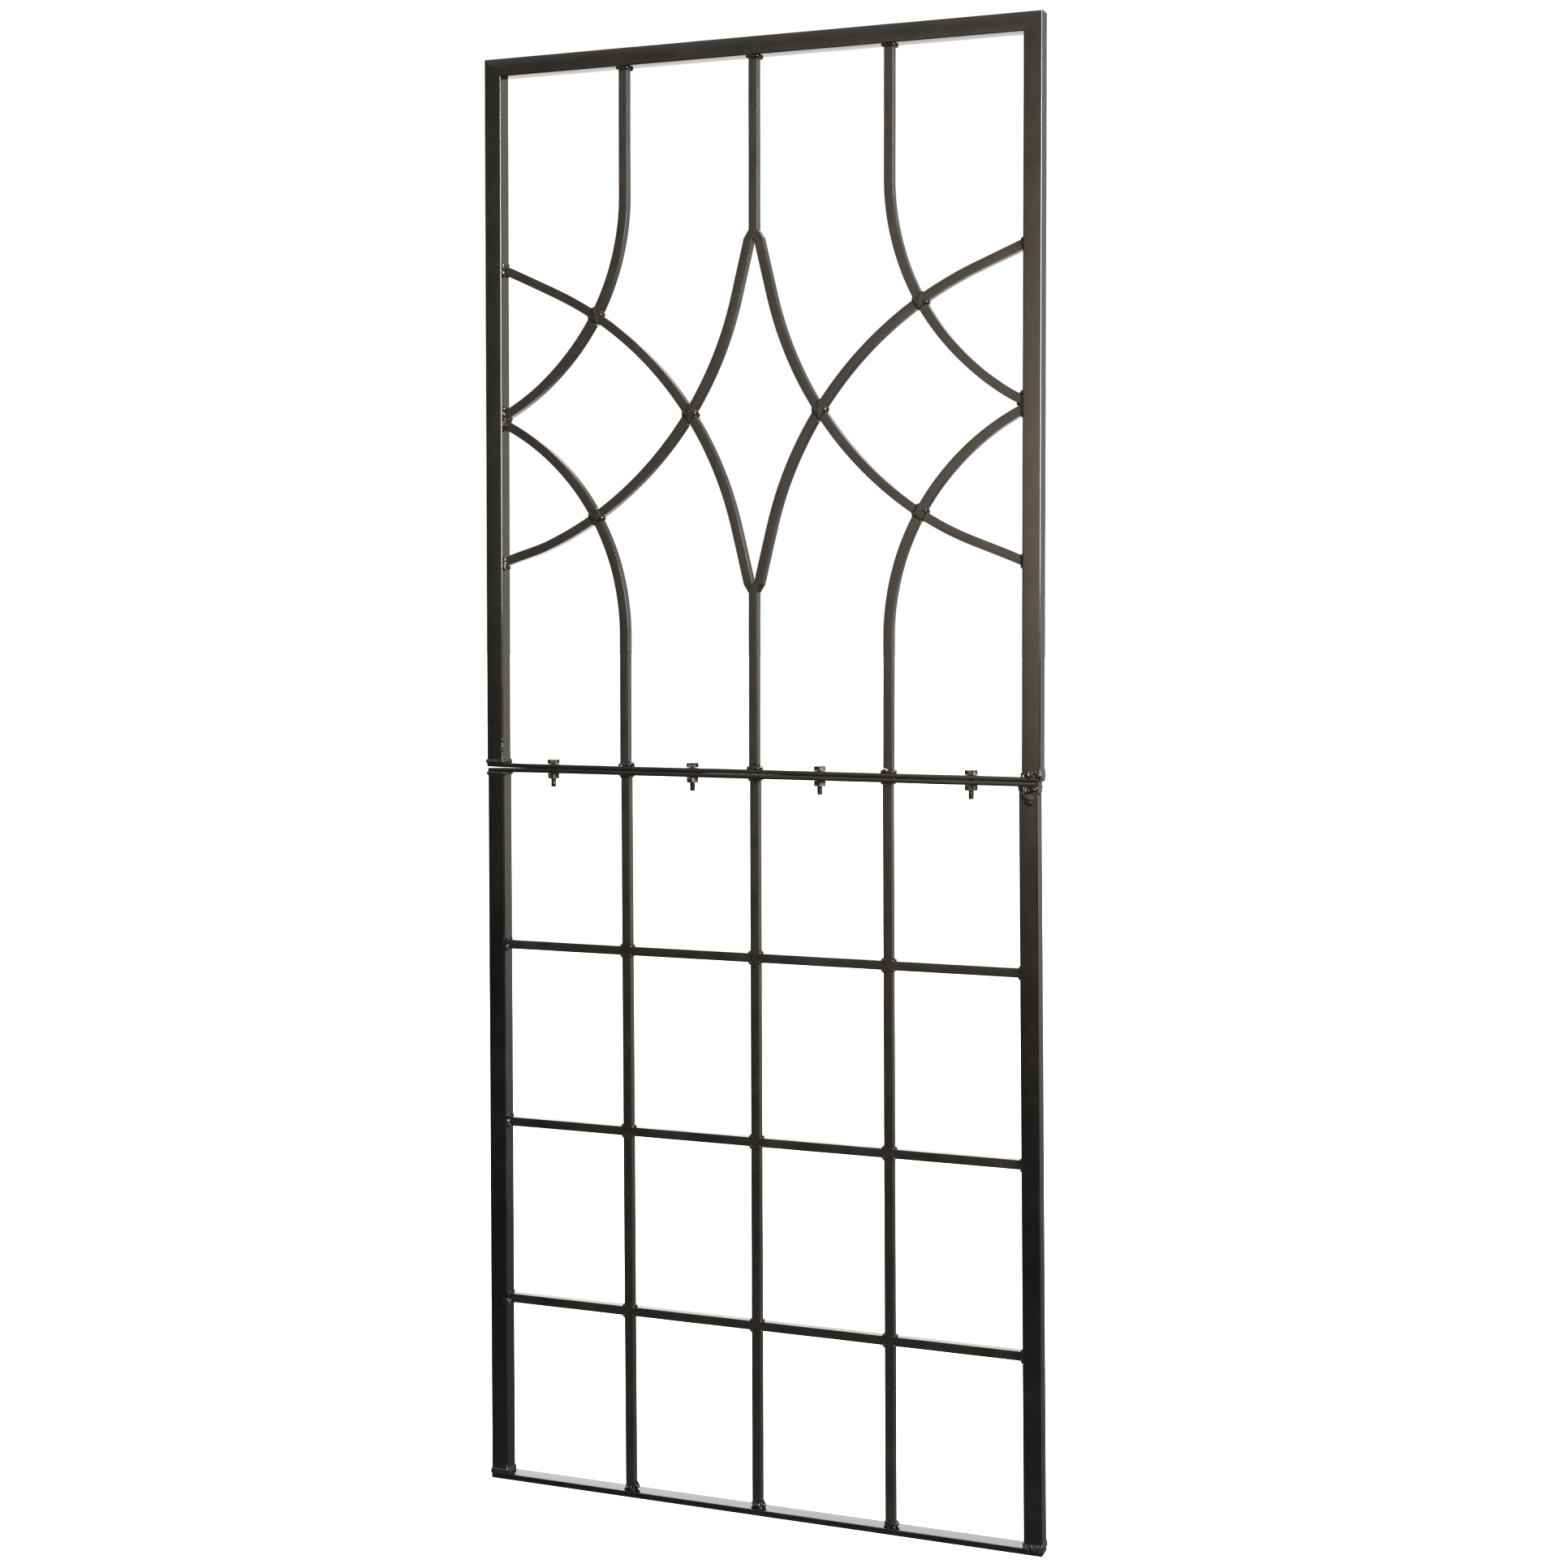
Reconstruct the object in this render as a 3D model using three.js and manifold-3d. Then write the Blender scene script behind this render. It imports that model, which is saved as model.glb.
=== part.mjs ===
// A flat trellis panel of black painted steel, made as two welded sections that are
// bolted end to end. Each section has stiles of square tube. The upper one is filled
// with straight and curved square bar, the lower one with a square grid of it.
//
// Millimetres, +Z up. X runs across the panel, its front faces -Y, and the origin is
// the middle of its underside.

import * as THREE from 'three';
import { mergeVertices } from 'three/addons/utils/BufferGeometryUtils.js';
import Module from 'manifold-3d';

const wasm = await Module();
wasm.setup();

// Whole panel
const PANEL_WIDTH = 609.6;
const PANEL_HEIGHT = 1524;
const ROOT_GAP = 0.3; // between the ends of pieces that a weld bead joins
const SEAT_GAP = 0.1; // between flat faces that rest on each other
const OVERRUN = 10; // how far a piece is made past the face that trims it

// Stiles and top rail
const TUBE_SIZE = 19.05;
const TUBE_WALL = 1.5;
const TUBE_CORNER = 2;

// Flat bars across the sections, as deep as the tube
const BOTTOM_RAIL_THICKNESS = 6.35;
const MEETING_RAIL_THICKNESS = 4.76;
const MEETING_HEIGHT = 772.4;
const MEETING_GAP = 1;

// Square bar of the infill
const BAR_SIZE = 9.525;
const BAR_SPACING = 145.6;
const ROUTE_STEP = 12;

// Curved pattern of the upper section, the same above and below its middle
const PATTERN_MIDDLE = 1144;
const SIDE_ARC_HEIGHT = 229.3;
const SIDE_ARC_RADIUS = 250;
const APEX_HEIGHT = 177;
const APEX_OFFSET = 5.3;
const LONG_ARC_LEAN = THREE.MathUtils.degToRad(13.6);
const LONG_ARC_LEAD = 59.6;
const LONG_ARC_RADIUS = 371;
const LONG_ARC_TURN = THREE.MathUtils.degToRad(53.9);
const LONG_ARC_TAIL = 53;

// Grid of the lower section
const ROW_HEIGHTS = { top: 582, middle: 390.3, bottom: 198.1 };

// Bolts through both meeting rails, and their nuts
const BOLT_PLACES = [-231, -70.5, 70.5, 231];
const HEAD_TURNS = [-4, -17, 20, -9];
const NUT_TURNS = [26, 23, 20, -12];
const BOLT_LENGTH = 25;
const THREAD_RADIUS = 3;
const THREAD_END_CHAMFER = 0.7;
const BOLT_HOLE_RADIUS = 3.4;
const HEX_ACROSS_FLATS = 12;
const HEAD_HEIGHT = 4.4;
const NUT_HEIGHT = 5.5;
const ROUND_SIDES = 24;

// Worked out from the sizes above
const STILE_MIDDLE = PANEL_WIDTH / 2 - TUBE_SIZE / 2;
const STILE_INNER_FACE = PANEL_WIDTH / 2 - TUBE_SIZE;
const TOP_RAIL_UNDERSIDE = PANEL_HEIGHT - TUBE_SIZE;
const UPPER_RAIL_BASE = MEETING_HEIGHT + MEETING_GAP / 2;
const UPPER_RAIL_TOP = UPPER_RAIL_BASE + MEETING_RAIL_THICKNESS;
const LOWER_RAIL_TOP = MEETING_HEIGHT - MEETING_GAP / 2;
const LOWER_RAIL_BASE = LOWER_RAIL_TOP - MEETING_RAIL_THICKNESS;

const blackPaint = new THREE.MeshStandardMaterial({ color: 0x201d1a, roughness: 0.35, metalness: 0.1 });
const zincPlate = new THREE.MeshStandardMaterial({ color: 0x8f8c86, roughness: 0.4, metalness: 0.9 });

const panel = new THREE.Group();

// ---- Solids ---------------------------------------------------------------------

/** A closed three.js geometry as a solid that can be joined and cut. */
function solidOf(geometry) {
  const bare = geometry.clone();
  bare.deleteAttribute('normal');
  bare.deleteAttribute('uv');
  const merged = mergeVertices(bare);
  return new wasm.Manifold(new wasm.Mesh({
    numProp: 3,
    vertProperties: Float32Array.from(merged.attributes.position.array),
    triVerts: Uint32Array.from(merged.index.array),
  }));
}

/** A solid as a three.js geometry. */
function geometryOf(solid) {
  const { vertProperties, triVerts } = solid.getMesh();
  const geometry = new THREE.BufferGeometry();
  geometry.setAttribute('position', new THREE.BufferAttribute(vertProperties, 3));
  geometry.setIndex(new THREE.BufferAttribute(triVerts, 1));
  geometry.computeVertexNormals();
  return geometry;
}

function addPiece(name, geometry, material = blackPaint) {
  const mesh = new THREE.Mesh(geometry, material);
  mesh.name = name;
  panel.add(mesh);
}

/** A box from its lowest and highest corners. */
function boxBetween(low, high) {
  const size = high.map((value, axis) => value - low[axis]);
  const middle = high.map((value, axis) => (value + low[axis]) / 2);
  return new THREE.BoxGeometry(...size).translate(...middle);
}

/** The two sides of the panel: the sign of X, and the word in a piece's name. */
const SIDES = [
  { side: -1, sideName: 'left' },
  { side: 1, sideName: 'right' },
];

// ---- Square tube ----------------------------------------------------------------

/** Draws a square with rounded corners round the origin. */
function roundedSquare(outline, size, radius) {
  const reach = size / 2 - radius;
  const corners = [[1, 1], [-1, 1], [-1, -1], [1, -1]];
  corners.forEach(([x, y], quarter) => {
    const start = (quarter * Math.PI) / 2;
    outline.absarc(x * reach, y * reach, radius, start, start + Math.PI / 2);
  });
  return outline;
}

/** Square tube standing on the origin, open at both ends. */
function squareTube(length) {
  const section = roundedSquare(new THREE.Shape(), TUBE_SIZE, TUBE_CORNER);
  const bore = roundedSquare(new THREE.Path(), TUBE_SIZE - 2 * TUBE_WALL, TUBE_CORNER - TUBE_WALL);
  section.holes.push(bore);
  return new THREE.ExtrudeGeometry(section, { depth: length, bevelEnabled: false, curveSegments: 2 });
}

/** What is cut off a stile, or off the top rail, to make the mitre at one top corner. */
function mitreCutter(side, keepsStile) {
  const size = 4 * TUBE_SIZE;
  const shift = (size - ROOT_GAP) / 2;
  const cutter = new THREE.BoxGeometry(size, size, size);
  cutter.translate(0, 0, keepsStile ? shift : -shift);
  cutter.rotateY((-side * Math.PI) / 4);
  return solidOf(cutter.translate(side * STILE_MIDDLE, 0, PANEL_HEIGHT - TUBE_SIZE / 2));
}

function addUpperStiles() {
  for (const { side, sideName } of SIDES) {
    const base = UPPER_RAIL_TOP + ROOT_GAP;
    const tube = squareTube(PANEL_HEIGHT - base).translate(side * STILE_MIDDLE, 0, base);
    const stile = solidOf(tube).subtract(mitreCutter(side, true));
    addPiece(`upper_${sideName}_stile`, geometryOf(stile));
  }
}

function addLowerStiles() {
  const base = BOTTOM_RAIL_THICKNESS + ROOT_GAP;
  const length = LOWER_RAIL_BASE - ROOT_GAP - base;
  for (const { side, sideName } of SIDES) {
    addPiece(`lower_${sideName}_stile`, squareTube(length).translate(side * STILE_MIDDLE, 0, base));
  }
}

function addTopRail() {
  const tube = squareTube(PANEL_WIDTH).rotateY(Math.PI / 2);
  tube.translate(-PANEL_WIDTH / 2, 0, PANEL_HEIGHT - TUBE_SIZE / 2);
  let rail = solidOf(tube);
  for (const { side } of SIDES) {
    rail = rail.subtract(mitreCutter(side, false));
  }
  addPiece('top_rail', geometryOf(rail));
}

// ---- Flat bars ------------------------------------------------------------------

/** A flat bar across the whole panel, drilled for the bolts where it is a meeting rail. */
function flatBar(base, thickness, isDrilled) {
  const reach = PANEL_WIDTH / 2;
  const depth = TUBE_SIZE / 2;
  let bar = solidOf(boxBetween([-reach, -depth, base], [reach, depth, base + thickness]));
  if (!isDrilled) return bar;
  for (const x of BOLT_PLACES) {
    const drill = new THREE.CylinderGeometry(BOLT_HOLE_RADIUS, BOLT_HOLE_RADIUS, TUBE_SIZE, ROUND_SIDES);
    bar = bar.subtract(solidOf(drill.rotateX(Math.PI / 2).translate(x, 0, base)));
  }
  return bar;
}

function addFlatBars() {
  const upper = flatBar(UPPER_RAIL_BASE, MEETING_RAIL_THICKNESS, true);
  const lower = flatBar(LOWER_RAIL_BASE, MEETING_RAIL_THICKNESS, true);
  addPiece('upper_meeting_rail', geometryOf(upper));
  addPiece('lower_meeting_rail', geometryOf(lower));
  addPiece('bottom_rail', geometryOf(flatBar(0, BOTTOM_RAIL_THICKNESS, false)));
}

// ---- Square bar of the upper section --------------------------------------------

/** A flat route drawn in the pattern's upper right quarter, turned to any quarter. */
class PatternRoute extends THREE.Curve {
  constructor(path, side, half) {
    super();
    Object.assign(this, { path, side, half });
  }

  getPoint(t, target = new THREE.Vector3()) {
    const point = this.path.getPoint(t);
    return target.set(this.side * point.x, 0, PATTERN_MIDDLE + this.half * point.y);
  }
}

/** Straight off the rail, then a bend out to the stile at the pattern's middle. */
function sidePath(half) {
  const railHeight = Math.abs((half > 0 ? TOP_RAIL_UNDERSIDE : UPPER_RAIL_TOP) - PATTERN_MIDDLE);
  const middle = BAR_SPACING + SIDE_ARC_RADIUS;
  const turn = Math.acos((middle - STILE_INNER_FACE - OVERRUN) / SIDE_ARC_RADIUS);
  const path = new THREE.Path();
  path.moveTo(BAR_SPACING, railHeight + OVERRUN);
  path.lineTo(BAR_SPACING, SIDE_ARC_HEIGHT);
  path.absarc(middle, SIDE_ARC_HEIGHT, SIDE_ARC_RADIUS, Math.PI, Math.PI + turn);
  return path;
}

/** From the apex, a straight lead, a long bend, and a straight tail out to the stile. */
function longPath() {
  const along = (angle) => new THREE.Vector2(Math.sin(angle), -Math.cos(angle));
  const across = (angle) => new THREE.Vector2(Math.cos(angle), Math.sin(angle));
  const endAngle = LONG_ARC_LEAN + LONG_ARC_TURN;
  const apex = new THREE.Vector2(APEX_OFFSET, APEX_HEIGHT);
  const start = apex.clone().addScaledVector(along(LONG_ARC_LEAN), -OVERRUN);
  const bend = apex.clone().addScaledVector(along(LONG_ARC_LEAN), LONG_ARC_LEAD);
  const middle = bend.clone().addScaledVector(across(LONG_ARC_LEAN), LONG_ARC_RADIUS);
  const bendEnd = middle.clone().addScaledVector(across(endAngle), -LONG_ARC_RADIUS);
  const tail = bendEnd.clone().addScaledVector(along(endAngle), LONG_ARC_TAIL + OVERRUN);
  const path = new THREE.Path();
  path.moveTo(start.x, start.y);
  path.lineTo(bend.x, bend.y);
  path.absarc(middle.x, middle.y, LONG_ARC_RADIUS, Math.PI + LONG_ARC_LEAN, Math.PI + endAngle);
  path.lineTo(tail.x, tail.y);
  return path;
}

/** Square bar swept along a route. */
function barAlong(route, size) {
  const half = size / 2;
  const section = new THREE.Shape([[-1, -1], [1, -1], [1, 1], [-1, 1]]
    .map(([x, y]) => new THREE.Vector2(x * half, y * half)));
  const steps = Math.round(route.getLength() / ROUTE_STEP);
  return solidOf(new THREE.ExtrudeGeometry(section, { steps, extrudePath: route, bevelEnabled: false }));
}

/** The room for a bar between the faces that it is welded to. */
function roomBetween(side, lowX, highX, lowZ, highZ) {
  const xs = [side * lowX, side * highX].sort((a, b) => a - b);
  return solidOf(boxBetween([xs[0], -TUBE_SIZE, lowZ], [xs[1], TUBE_SIZE, highZ]));
}

/** A side bar, trimmed to its rail, its stile and the pattern's middle. */
function sideBar(side, half) {
  const low = half > 0 ? PATTERN_MIDDLE + ROOT_GAP / 2 : UPPER_RAIL_TOP + ROOT_GAP;
  const high = half > 0 ? TOP_RAIL_UNDERSIDE - ROOT_GAP : PATTERN_MIDDLE - ROOT_GAP / 2;
  const room = roomBetween(side, 0, STILE_INNER_FACE - ROOT_GAP, low, high);
  return barAlong(new PatternRoute(sidePath(half), side, half), BAR_SIZE).intersect(room);
}

/** A long arc, trimmed to its stile, to its twin at the apex and to the centre bar. */
function longArc(side, half, size = BAR_SIZE) {
  const reach = APEX_HEIGHT;
  const room = roomBetween(side, ROOT_GAP / 2, STILE_INNER_FACE - ROOT_GAP,
    PATTERN_MIDDLE - reach, PATTERN_MIDDLE + reach);
  return barAlong(new PatternRoute(longPath(), side, half), size).intersect(room);
}

/** Cuts a bar where another one passes through it. Returns its two parts, the inner first. */
function cutAt(bar, cutter) {
  const offCentre = (solid) => {
    const { min, max } = solid.boundingBox();
    return Math.abs(min[0] + max[0]);
  };
  return bar.subtract(cutter).decompose().sort((a, b) => offCentre(a) - offCentre(b));
}

function addPattern() {
  for (const { side, sideName } of SIDES) {
    const lowerArcRoom = longArc(side, -1, BAR_SIZE + 2 * ROOT_GAP);
    const upperArcRoom = longArc(side, 1, BAR_SIZE + 2 * ROOT_GAP);
    const [upperInner, upperOuter] = cutAt(longArc(side, 1), lowerArcRoom);
    const [topBar, topTail] = cutAt(sideBar(side, 1), lowerArcRoom);
    const [lowBar, lowTail] = cutAt(sideBar(side, -1), upperArcRoom);
    addPiece(`${sideName}_rising_arc`, geometryOf(longArc(side, -1)));
    addPiece(`${sideName}_falling_arc_inner`, geometryOf(upperInner));
    addPiece(`${sideName}_falling_arc_outer`, geometryOf(upperOuter));
    addPiece(`${sideName}_top_side_bar`, geometryOf(topBar));
    addPiece(`${sideName}_top_side_bar_tail`, geometryOf(topTail));
    addPiece(`${sideName}_low_side_bar`, geometryOf(lowBar));
    addPiece(`${sideName}_low_side_bar_tail`, geometryOf(lowTail));
  }
}

function addCentreBars() {
  const half = BAR_SIZE / 2;
  const topBase = PATTERN_MIDDLE + APEX_HEIGHT + ROOT_GAP;
  const lowTop = PATTERN_MIDDLE - APEX_HEIGHT - ROOT_GAP;
  addPiece('top_centre_bar', boxBetween([-half, -half, topBase], [half, half, TOP_RAIL_UNDERSIDE - ROOT_GAP]));
  addPiece('low_centre_bar', boxBetween([-half, -half, UPPER_RAIL_TOP + ROOT_GAP], [half, half, lowTop]));
}

// ---- Square bar of the lower section --------------------------------------------

function addGrid() {
  const half = BAR_SIZE / 2;
  const columns = { left_upright: -BAR_SPACING, centre_upright: 0, right_upright: BAR_SPACING };
  const base = BOTTOM_RAIL_THICKNESS + ROOT_GAP;
  for (const [name, x] of Object.entries(columns)) {
    addPiece(name, boxBetween([x - half, -half, base], [x + half, half, LOWER_RAIL_BASE - ROOT_GAP]));
  }
  const bayEdges = [
    [-STILE_INNER_FACE, -BAR_SPACING - half],
    [-BAR_SPACING + half, -half],
    [half, BAR_SPACING - half],
    [BAR_SPACING + half, STILE_INNER_FACE],
  ];
  for (const [row, height] of Object.entries(ROW_HEIGHTS)) {
    bayEdges.forEach(([from, to], bay) => {
      const low = [from + ROOT_GAP, -half, height - half];
      const high = [to - ROOT_GAP, half, height + half];
      addPiece(`${row}_crossbar_${bay + 1}`, boxBetween(low, high));
    });
  }
}

// ---- Bolts and nuts -------------------------------------------------------------

/** A solid turned from [radius, height] points about the Z axis. */
function turned(points) {
  const profile = points.map(([radius, height]) => new THREE.Vector2(radius, height));
  return solidOf(new THREE.LatheGeometry(profile, ROUND_SIDES).rotateX(Math.PI / 2));
}

/** A hexagon prism standing on the origin, one corner towards the front, ends eased. */
function hexPrism(height, turnDegrees, easedEnds) {
  const cornerRadius = HEX_ACROSS_FLATS / Math.sqrt(3);
  const flatRadius = HEX_ACROSS_FLATS / 2;
  const ease = cornerRadius - flatRadius;
  const prism = new THREE.CylinderGeometry(cornerRadius, cornerRadius, height, 6);
  prism.rotateX(Math.PI / 2).translate(0, 0, height / 2);
  const lowRadius = easedEnds.low ? flatRadius : cornerRadius + ease;
  const highRadius = easedEnds.high ? flatRadius : cornerRadius + ease;
  const envelope = turned([
    [0, 0], [lowRadius, 0], [cornerRadius + ease, ease], [cornerRadius + ease, height - ease],
    [highRadius, height], [0, height],
  ]);
  const turn = THREE.MathUtils.degToRad(turnDegrees);
  return solidOf(prism.rotateZ(turn)).intersect(envelope);
}

/** A hex bolt, head up, with the underside of its head at the origin. */
function hexBolt(turnDegrees) {
  const shank = turned([
    [0, -BOLT_LENGTH], [THREAD_RADIUS - THREAD_END_CHAMFER, -BOLT_LENGTH],
    [THREAD_RADIUS, -BOLT_LENGTH + THREAD_END_CHAMFER], [THREAD_RADIUS, HEAD_HEIGHT / 2], [0, HEAD_HEIGHT / 2],
  ]);
  return shank.add(hexPrism(HEAD_HEIGHT, turnDegrees, { low: false, high: true }));
}

/** A hex nut standing on the origin. */
function hexNut(turnDegrees) {
  const boreRadius = THREAD_RADIUS + ROOT_GAP;
  const bore = turned([[0, -1], [boreRadius, -1], [boreRadius, NUT_HEIGHT + 1], [0, NUT_HEIGHT + 1]]);
  return hexPrism(NUT_HEIGHT, turnDegrees, { low: true, high: true }).subtract(bore);
}

function addBoltsAndNuts() {
  const nutHeight = LOWER_RAIL_BASE - SEAT_GAP - NUT_HEIGHT;
  BOLT_PLACES.forEach((x, index) => {
    const bolt = hexBolt(HEAD_TURNS[index]).translate([x, 0, UPPER_RAIL_TOP + SEAT_GAP]);
    const nut = hexNut(NUT_TURNS[index]).translate([x, 0, nutHeight]);
    addPiece(`bolt_${index + 1}`, geometryOf(bolt), zincPlate);
    addPiece(`nut_${index + 1}`, geometryOf(nut), zincPlate);
  });
}

addUpperStiles();
addTopRail();
addFlatBars();
addPattern();
addCentreBars();
addLowerStiles();
addGrid();
addBoltsAndNuts();

export default panel;
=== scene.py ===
"""Looks of a trellis panel of black painted steel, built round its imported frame.

Metres, +Z up, X across the panel, the front facing -Y. Each piece of steel is swept or turned
here with its real edges, each weld is a skin fused from drops of metal, and every piece rides
on the one body of the panel.
"""
import math
import random

import bmesh
import bpy
import numpy as np
from mathutils import Euler, Matrix, Vector, noise


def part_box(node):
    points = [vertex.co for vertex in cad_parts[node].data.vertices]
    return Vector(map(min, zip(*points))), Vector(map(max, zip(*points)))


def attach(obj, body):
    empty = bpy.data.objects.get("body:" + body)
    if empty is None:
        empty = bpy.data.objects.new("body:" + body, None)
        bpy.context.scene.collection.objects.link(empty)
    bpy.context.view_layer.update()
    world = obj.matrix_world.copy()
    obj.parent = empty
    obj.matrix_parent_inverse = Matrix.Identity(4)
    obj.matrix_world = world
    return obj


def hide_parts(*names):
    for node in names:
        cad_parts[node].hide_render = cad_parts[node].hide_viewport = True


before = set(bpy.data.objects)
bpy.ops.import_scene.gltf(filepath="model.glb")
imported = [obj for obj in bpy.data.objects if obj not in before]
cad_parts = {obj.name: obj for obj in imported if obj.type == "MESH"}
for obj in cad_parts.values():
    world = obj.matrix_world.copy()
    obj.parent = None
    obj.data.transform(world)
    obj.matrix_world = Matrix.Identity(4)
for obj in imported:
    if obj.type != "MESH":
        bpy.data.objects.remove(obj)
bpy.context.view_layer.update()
BODY = "root"

MM = 0.001
X_AXIS = Vector((1, 0, 0))
Y_AXIS = Vector((0, 1, 0))
Z_AXIS = Vector((0, 0, 1))

# Steel sections
TUBE_CORNER = 1.3 * MM
TUBE_WALL = 1.5 * MM
BORE_CORNER = 0.5 * MM
TUBE_CROWN = 0.05 * MM
TOP_RAIL_CROWN = 0.17 * MM
BAR_EDGE = 0.32 * MM
BAR_CROWN = 0.04 * MM
FLAT_EDGE = 0.6 * MM
FLAT_CROWN = 0.05 * MM
FACE_SHARES = (0.02, 0.2, 0.4, 0.6, 0.8, 0.98)  # places across a face that have a corner of the skin
RING_STEP = 4 * MM
BITE = 0.05 * MM  # how far a welded end is sunk into what it is welded to

# Curves of the upper section, as the frame has them
BAR_SPACING = 145.6 * MM
PATTERN_MIDDLE = 1144 * MM
SIDE_ARC_HEIGHT = 229.3 * MM
SIDE_ARC_RADIUS = 250 * MM
APEX_HEIGHT = 177 * MM
APEX_OFFSET = 5.3 * MM
LONG_ARC_LEAN = math.radians(13.6)
LONG_ARC_LEAD = 59.6 * MM
LONG_ARC_RADIUS = 371 * MM
LONG_ARC_TURN = math.radians(53.9)
LONG_ARC_TAIL = 53 * MM
OVERRUN = 12 * MM

# How far welding pulled each section sideways, in millimetres: (place across, at the foot, at the top)
UPPER_PULLS = ((-295, -0.8, 1.6), (295, -0.8, 0.0))
LOWER_PULLS = ((-295, -0.8, 0.2), (-146, 2.1, 0.2), (0, 0.9, 0.2), (146, 1.2, -1.4), (295, 2.9, -3.7))
TAIL_SAG = 1.7 * MM
TAIL_SAG_START = 205 * MM

# Where the long arcs were welded on a little high: (side, height, where it starts, how far at the stile)
ARC_END_LIFTS = ((-1, 991 * MM, 235 * MM, 3.6 * MM), (-1, 1297 * MM, 215 * MM, 2.1 * MM),
                 (1, 991 * MM, 185 * MM, 2.1 * MM))
LIFT_FULL_REACH = 48 * MM  # above and below each of those heights
LIFT_REACH = 62 * MM

HAND_WAVER = 0.12 * MM
HAND_WAVER_LENGTH = 45 * MM

# How far apart the meeting rails stand, at places from left to right
RAIL_GAPS = ((-305, 1.2), (-285, 0.7), (-255, 0.1), (-70, 0.06), (-47, 0.4), (10, 0.4), (40, 0.1),
             (150, 0.1), (220, 0.25), (305, 0.15))

# Welds
WELD_GRAIN = 0.45 * MM  # between the corners of a weld's skin
WELD_BLEND = 0.7 * MM  # how far drops that touch flow into each other
WELD_EDGE = 0.6 * MM  # how much the edges of a flat-faced lump are eased
CHIP_EDGE = 0.15 * MM
CORE_INSET = 0.3 * MM  # how far the core of a crossing weld is inside the bars
WELD_ROUGHNESS = 0.12 * MM
DROP_PITCH = 0.8

GUSSET_HEIGHT = 8.6 * MM
NOTCH_DEPTH = 2.0 * MM

# Bolts and nuts
BOLT_PLACES = (-231 * MM, -70.5 * MM, 70.5 * MM, 231 * MM)
HEAD_TURNS = (-4, -17, 20, -9)
NUT_TURNS = (26, 23, 20, -12)
THREAD_RADIUS = 3 * MM
THREAD_DEPTH = 0.55 * MM
THREAD_PITCH = 1 * MM
HEX_FLAT_RADIUS = 6 * MM
HEX_CORNER_EASE = 0.35 * MM

# Camera
CAMERA_PLACE = (0.8993, -2.2888, 0.9626)
CAMERA_TURN = math.radians(20.76)
CAMERA_TILT = math.radians(-2.199)
CAMERA_ROLL = math.radians(-0.117)
CAMERA_LENS = 54.88
CAMERA_SHIFT = -0.0658

# Places read from the frame
low_stile_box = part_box("lower_left_stile")
upright_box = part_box("centre_upright")
upper_rail_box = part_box("upper_meeting_rail")
lower_rail_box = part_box("lower_meeting_rail")
bottom_rail_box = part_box("bottom_rail")
top_rail_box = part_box("top_rail")
TUBE_HALF = (low_stile_box[1].y - low_stile_box[0].y) / 2
BAR_HALF = (upright_box[1].x - upright_box[0].x) / 2
PANEL_HALF = bottom_rail_box[1].x
PANEL_HEIGHT = top_rail_box[1].z
STILE_MIDDLE = PANEL_HALF - TUBE_HALF
STILE_FACE = PANEL_HALF - 2 * TUBE_HALF
TOP_UNDERSIDE = top_rail_box[1].z - 2 * TUBE_HALF
JOINT_HEIGHT = (upper_rail_box[0].z + lower_rail_box[1].z) / 2
RAIL_THICKNESS = upper_rail_box[1].z - upper_rail_box[0].z
UPPER_RAIL_TOP = upper_rail_box[1].z
LOWER_RAIL_BASE = lower_rail_box[0].z
BOTTOM_RAIL_TOP = bottom_rail_box[1].z
SIDES = ((-1, "left"), (1, "right"))
ROWS = ("top", "middle", "bottom")
COLUMNS = (("left_upright", -BAR_SPACING), ("centre_upright", 0.0), ("right_upright", BAR_SPACING))


# ---- Materials ------------------------------------------------------------------------


def new_material(name):
    material = bpy.data.materials.new(name)
    material.use_nodes = True
    tree = material.node_tree
    return material, tree, tree.nodes["Principled BSDF"]


def grain(tree, scale, detail=3.0, roughness=0.5, stretch=(1, 1, 1)):
    """Noise fixed to the steel. The scale is in features per metre."""
    place = tree.nodes.new("ShaderNodeTexCoord")
    mapping = tree.nodes.new("ShaderNodeMapping")
    mapping.inputs["Scale"].default_value = stretch
    texture = tree.nodes.new("ShaderNodeTexNoise")
    texture.inputs["Scale"].default_value = scale
    texture.inputs["Detail"].default_value = detail
    texture.inputs["Roughness"].default_value = roughness
    tree.links.new(place.outputs["Object"], mapping.inputs["Vector"])
    tree.links.new(mapping.outputs["Vector"], texture.inputs["Vector"])
    return texture.outputs["Fac"]


def ramp(tree, value, stops):
    """A colour ramp. Each stop is (position, colour)."""
    node = tree.nodes.new("ShaderNodeValToRGB")
    elements = node.color_ramp.elements
    while len(elements) < len(stops):
        elements.new(0.5)
    for element, (position, colour) in zip(elements, stops):
        element.position = position
        element.color = (*colour, 1)
    tree.links.new(value, node.inputs["Fac"])
    return node.outputs["Color"]


def spread(tree, value, low, high, low_in=0.3, high_in=0.7):
    """Takes a value from one range to another."""
    node = tree.nodes.new("ShaderNodeMapRange")
    node.inputs["From Min"].default_value = low_in
    node.inputs["From Max"].default_value = high_in
    node.inputs["To Min"].default_value = low
    node.inputs["To Max"].default_value = high
    tree.links.new(value, node.inputs["Value"])
    return node.outputs["Result"]


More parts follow.
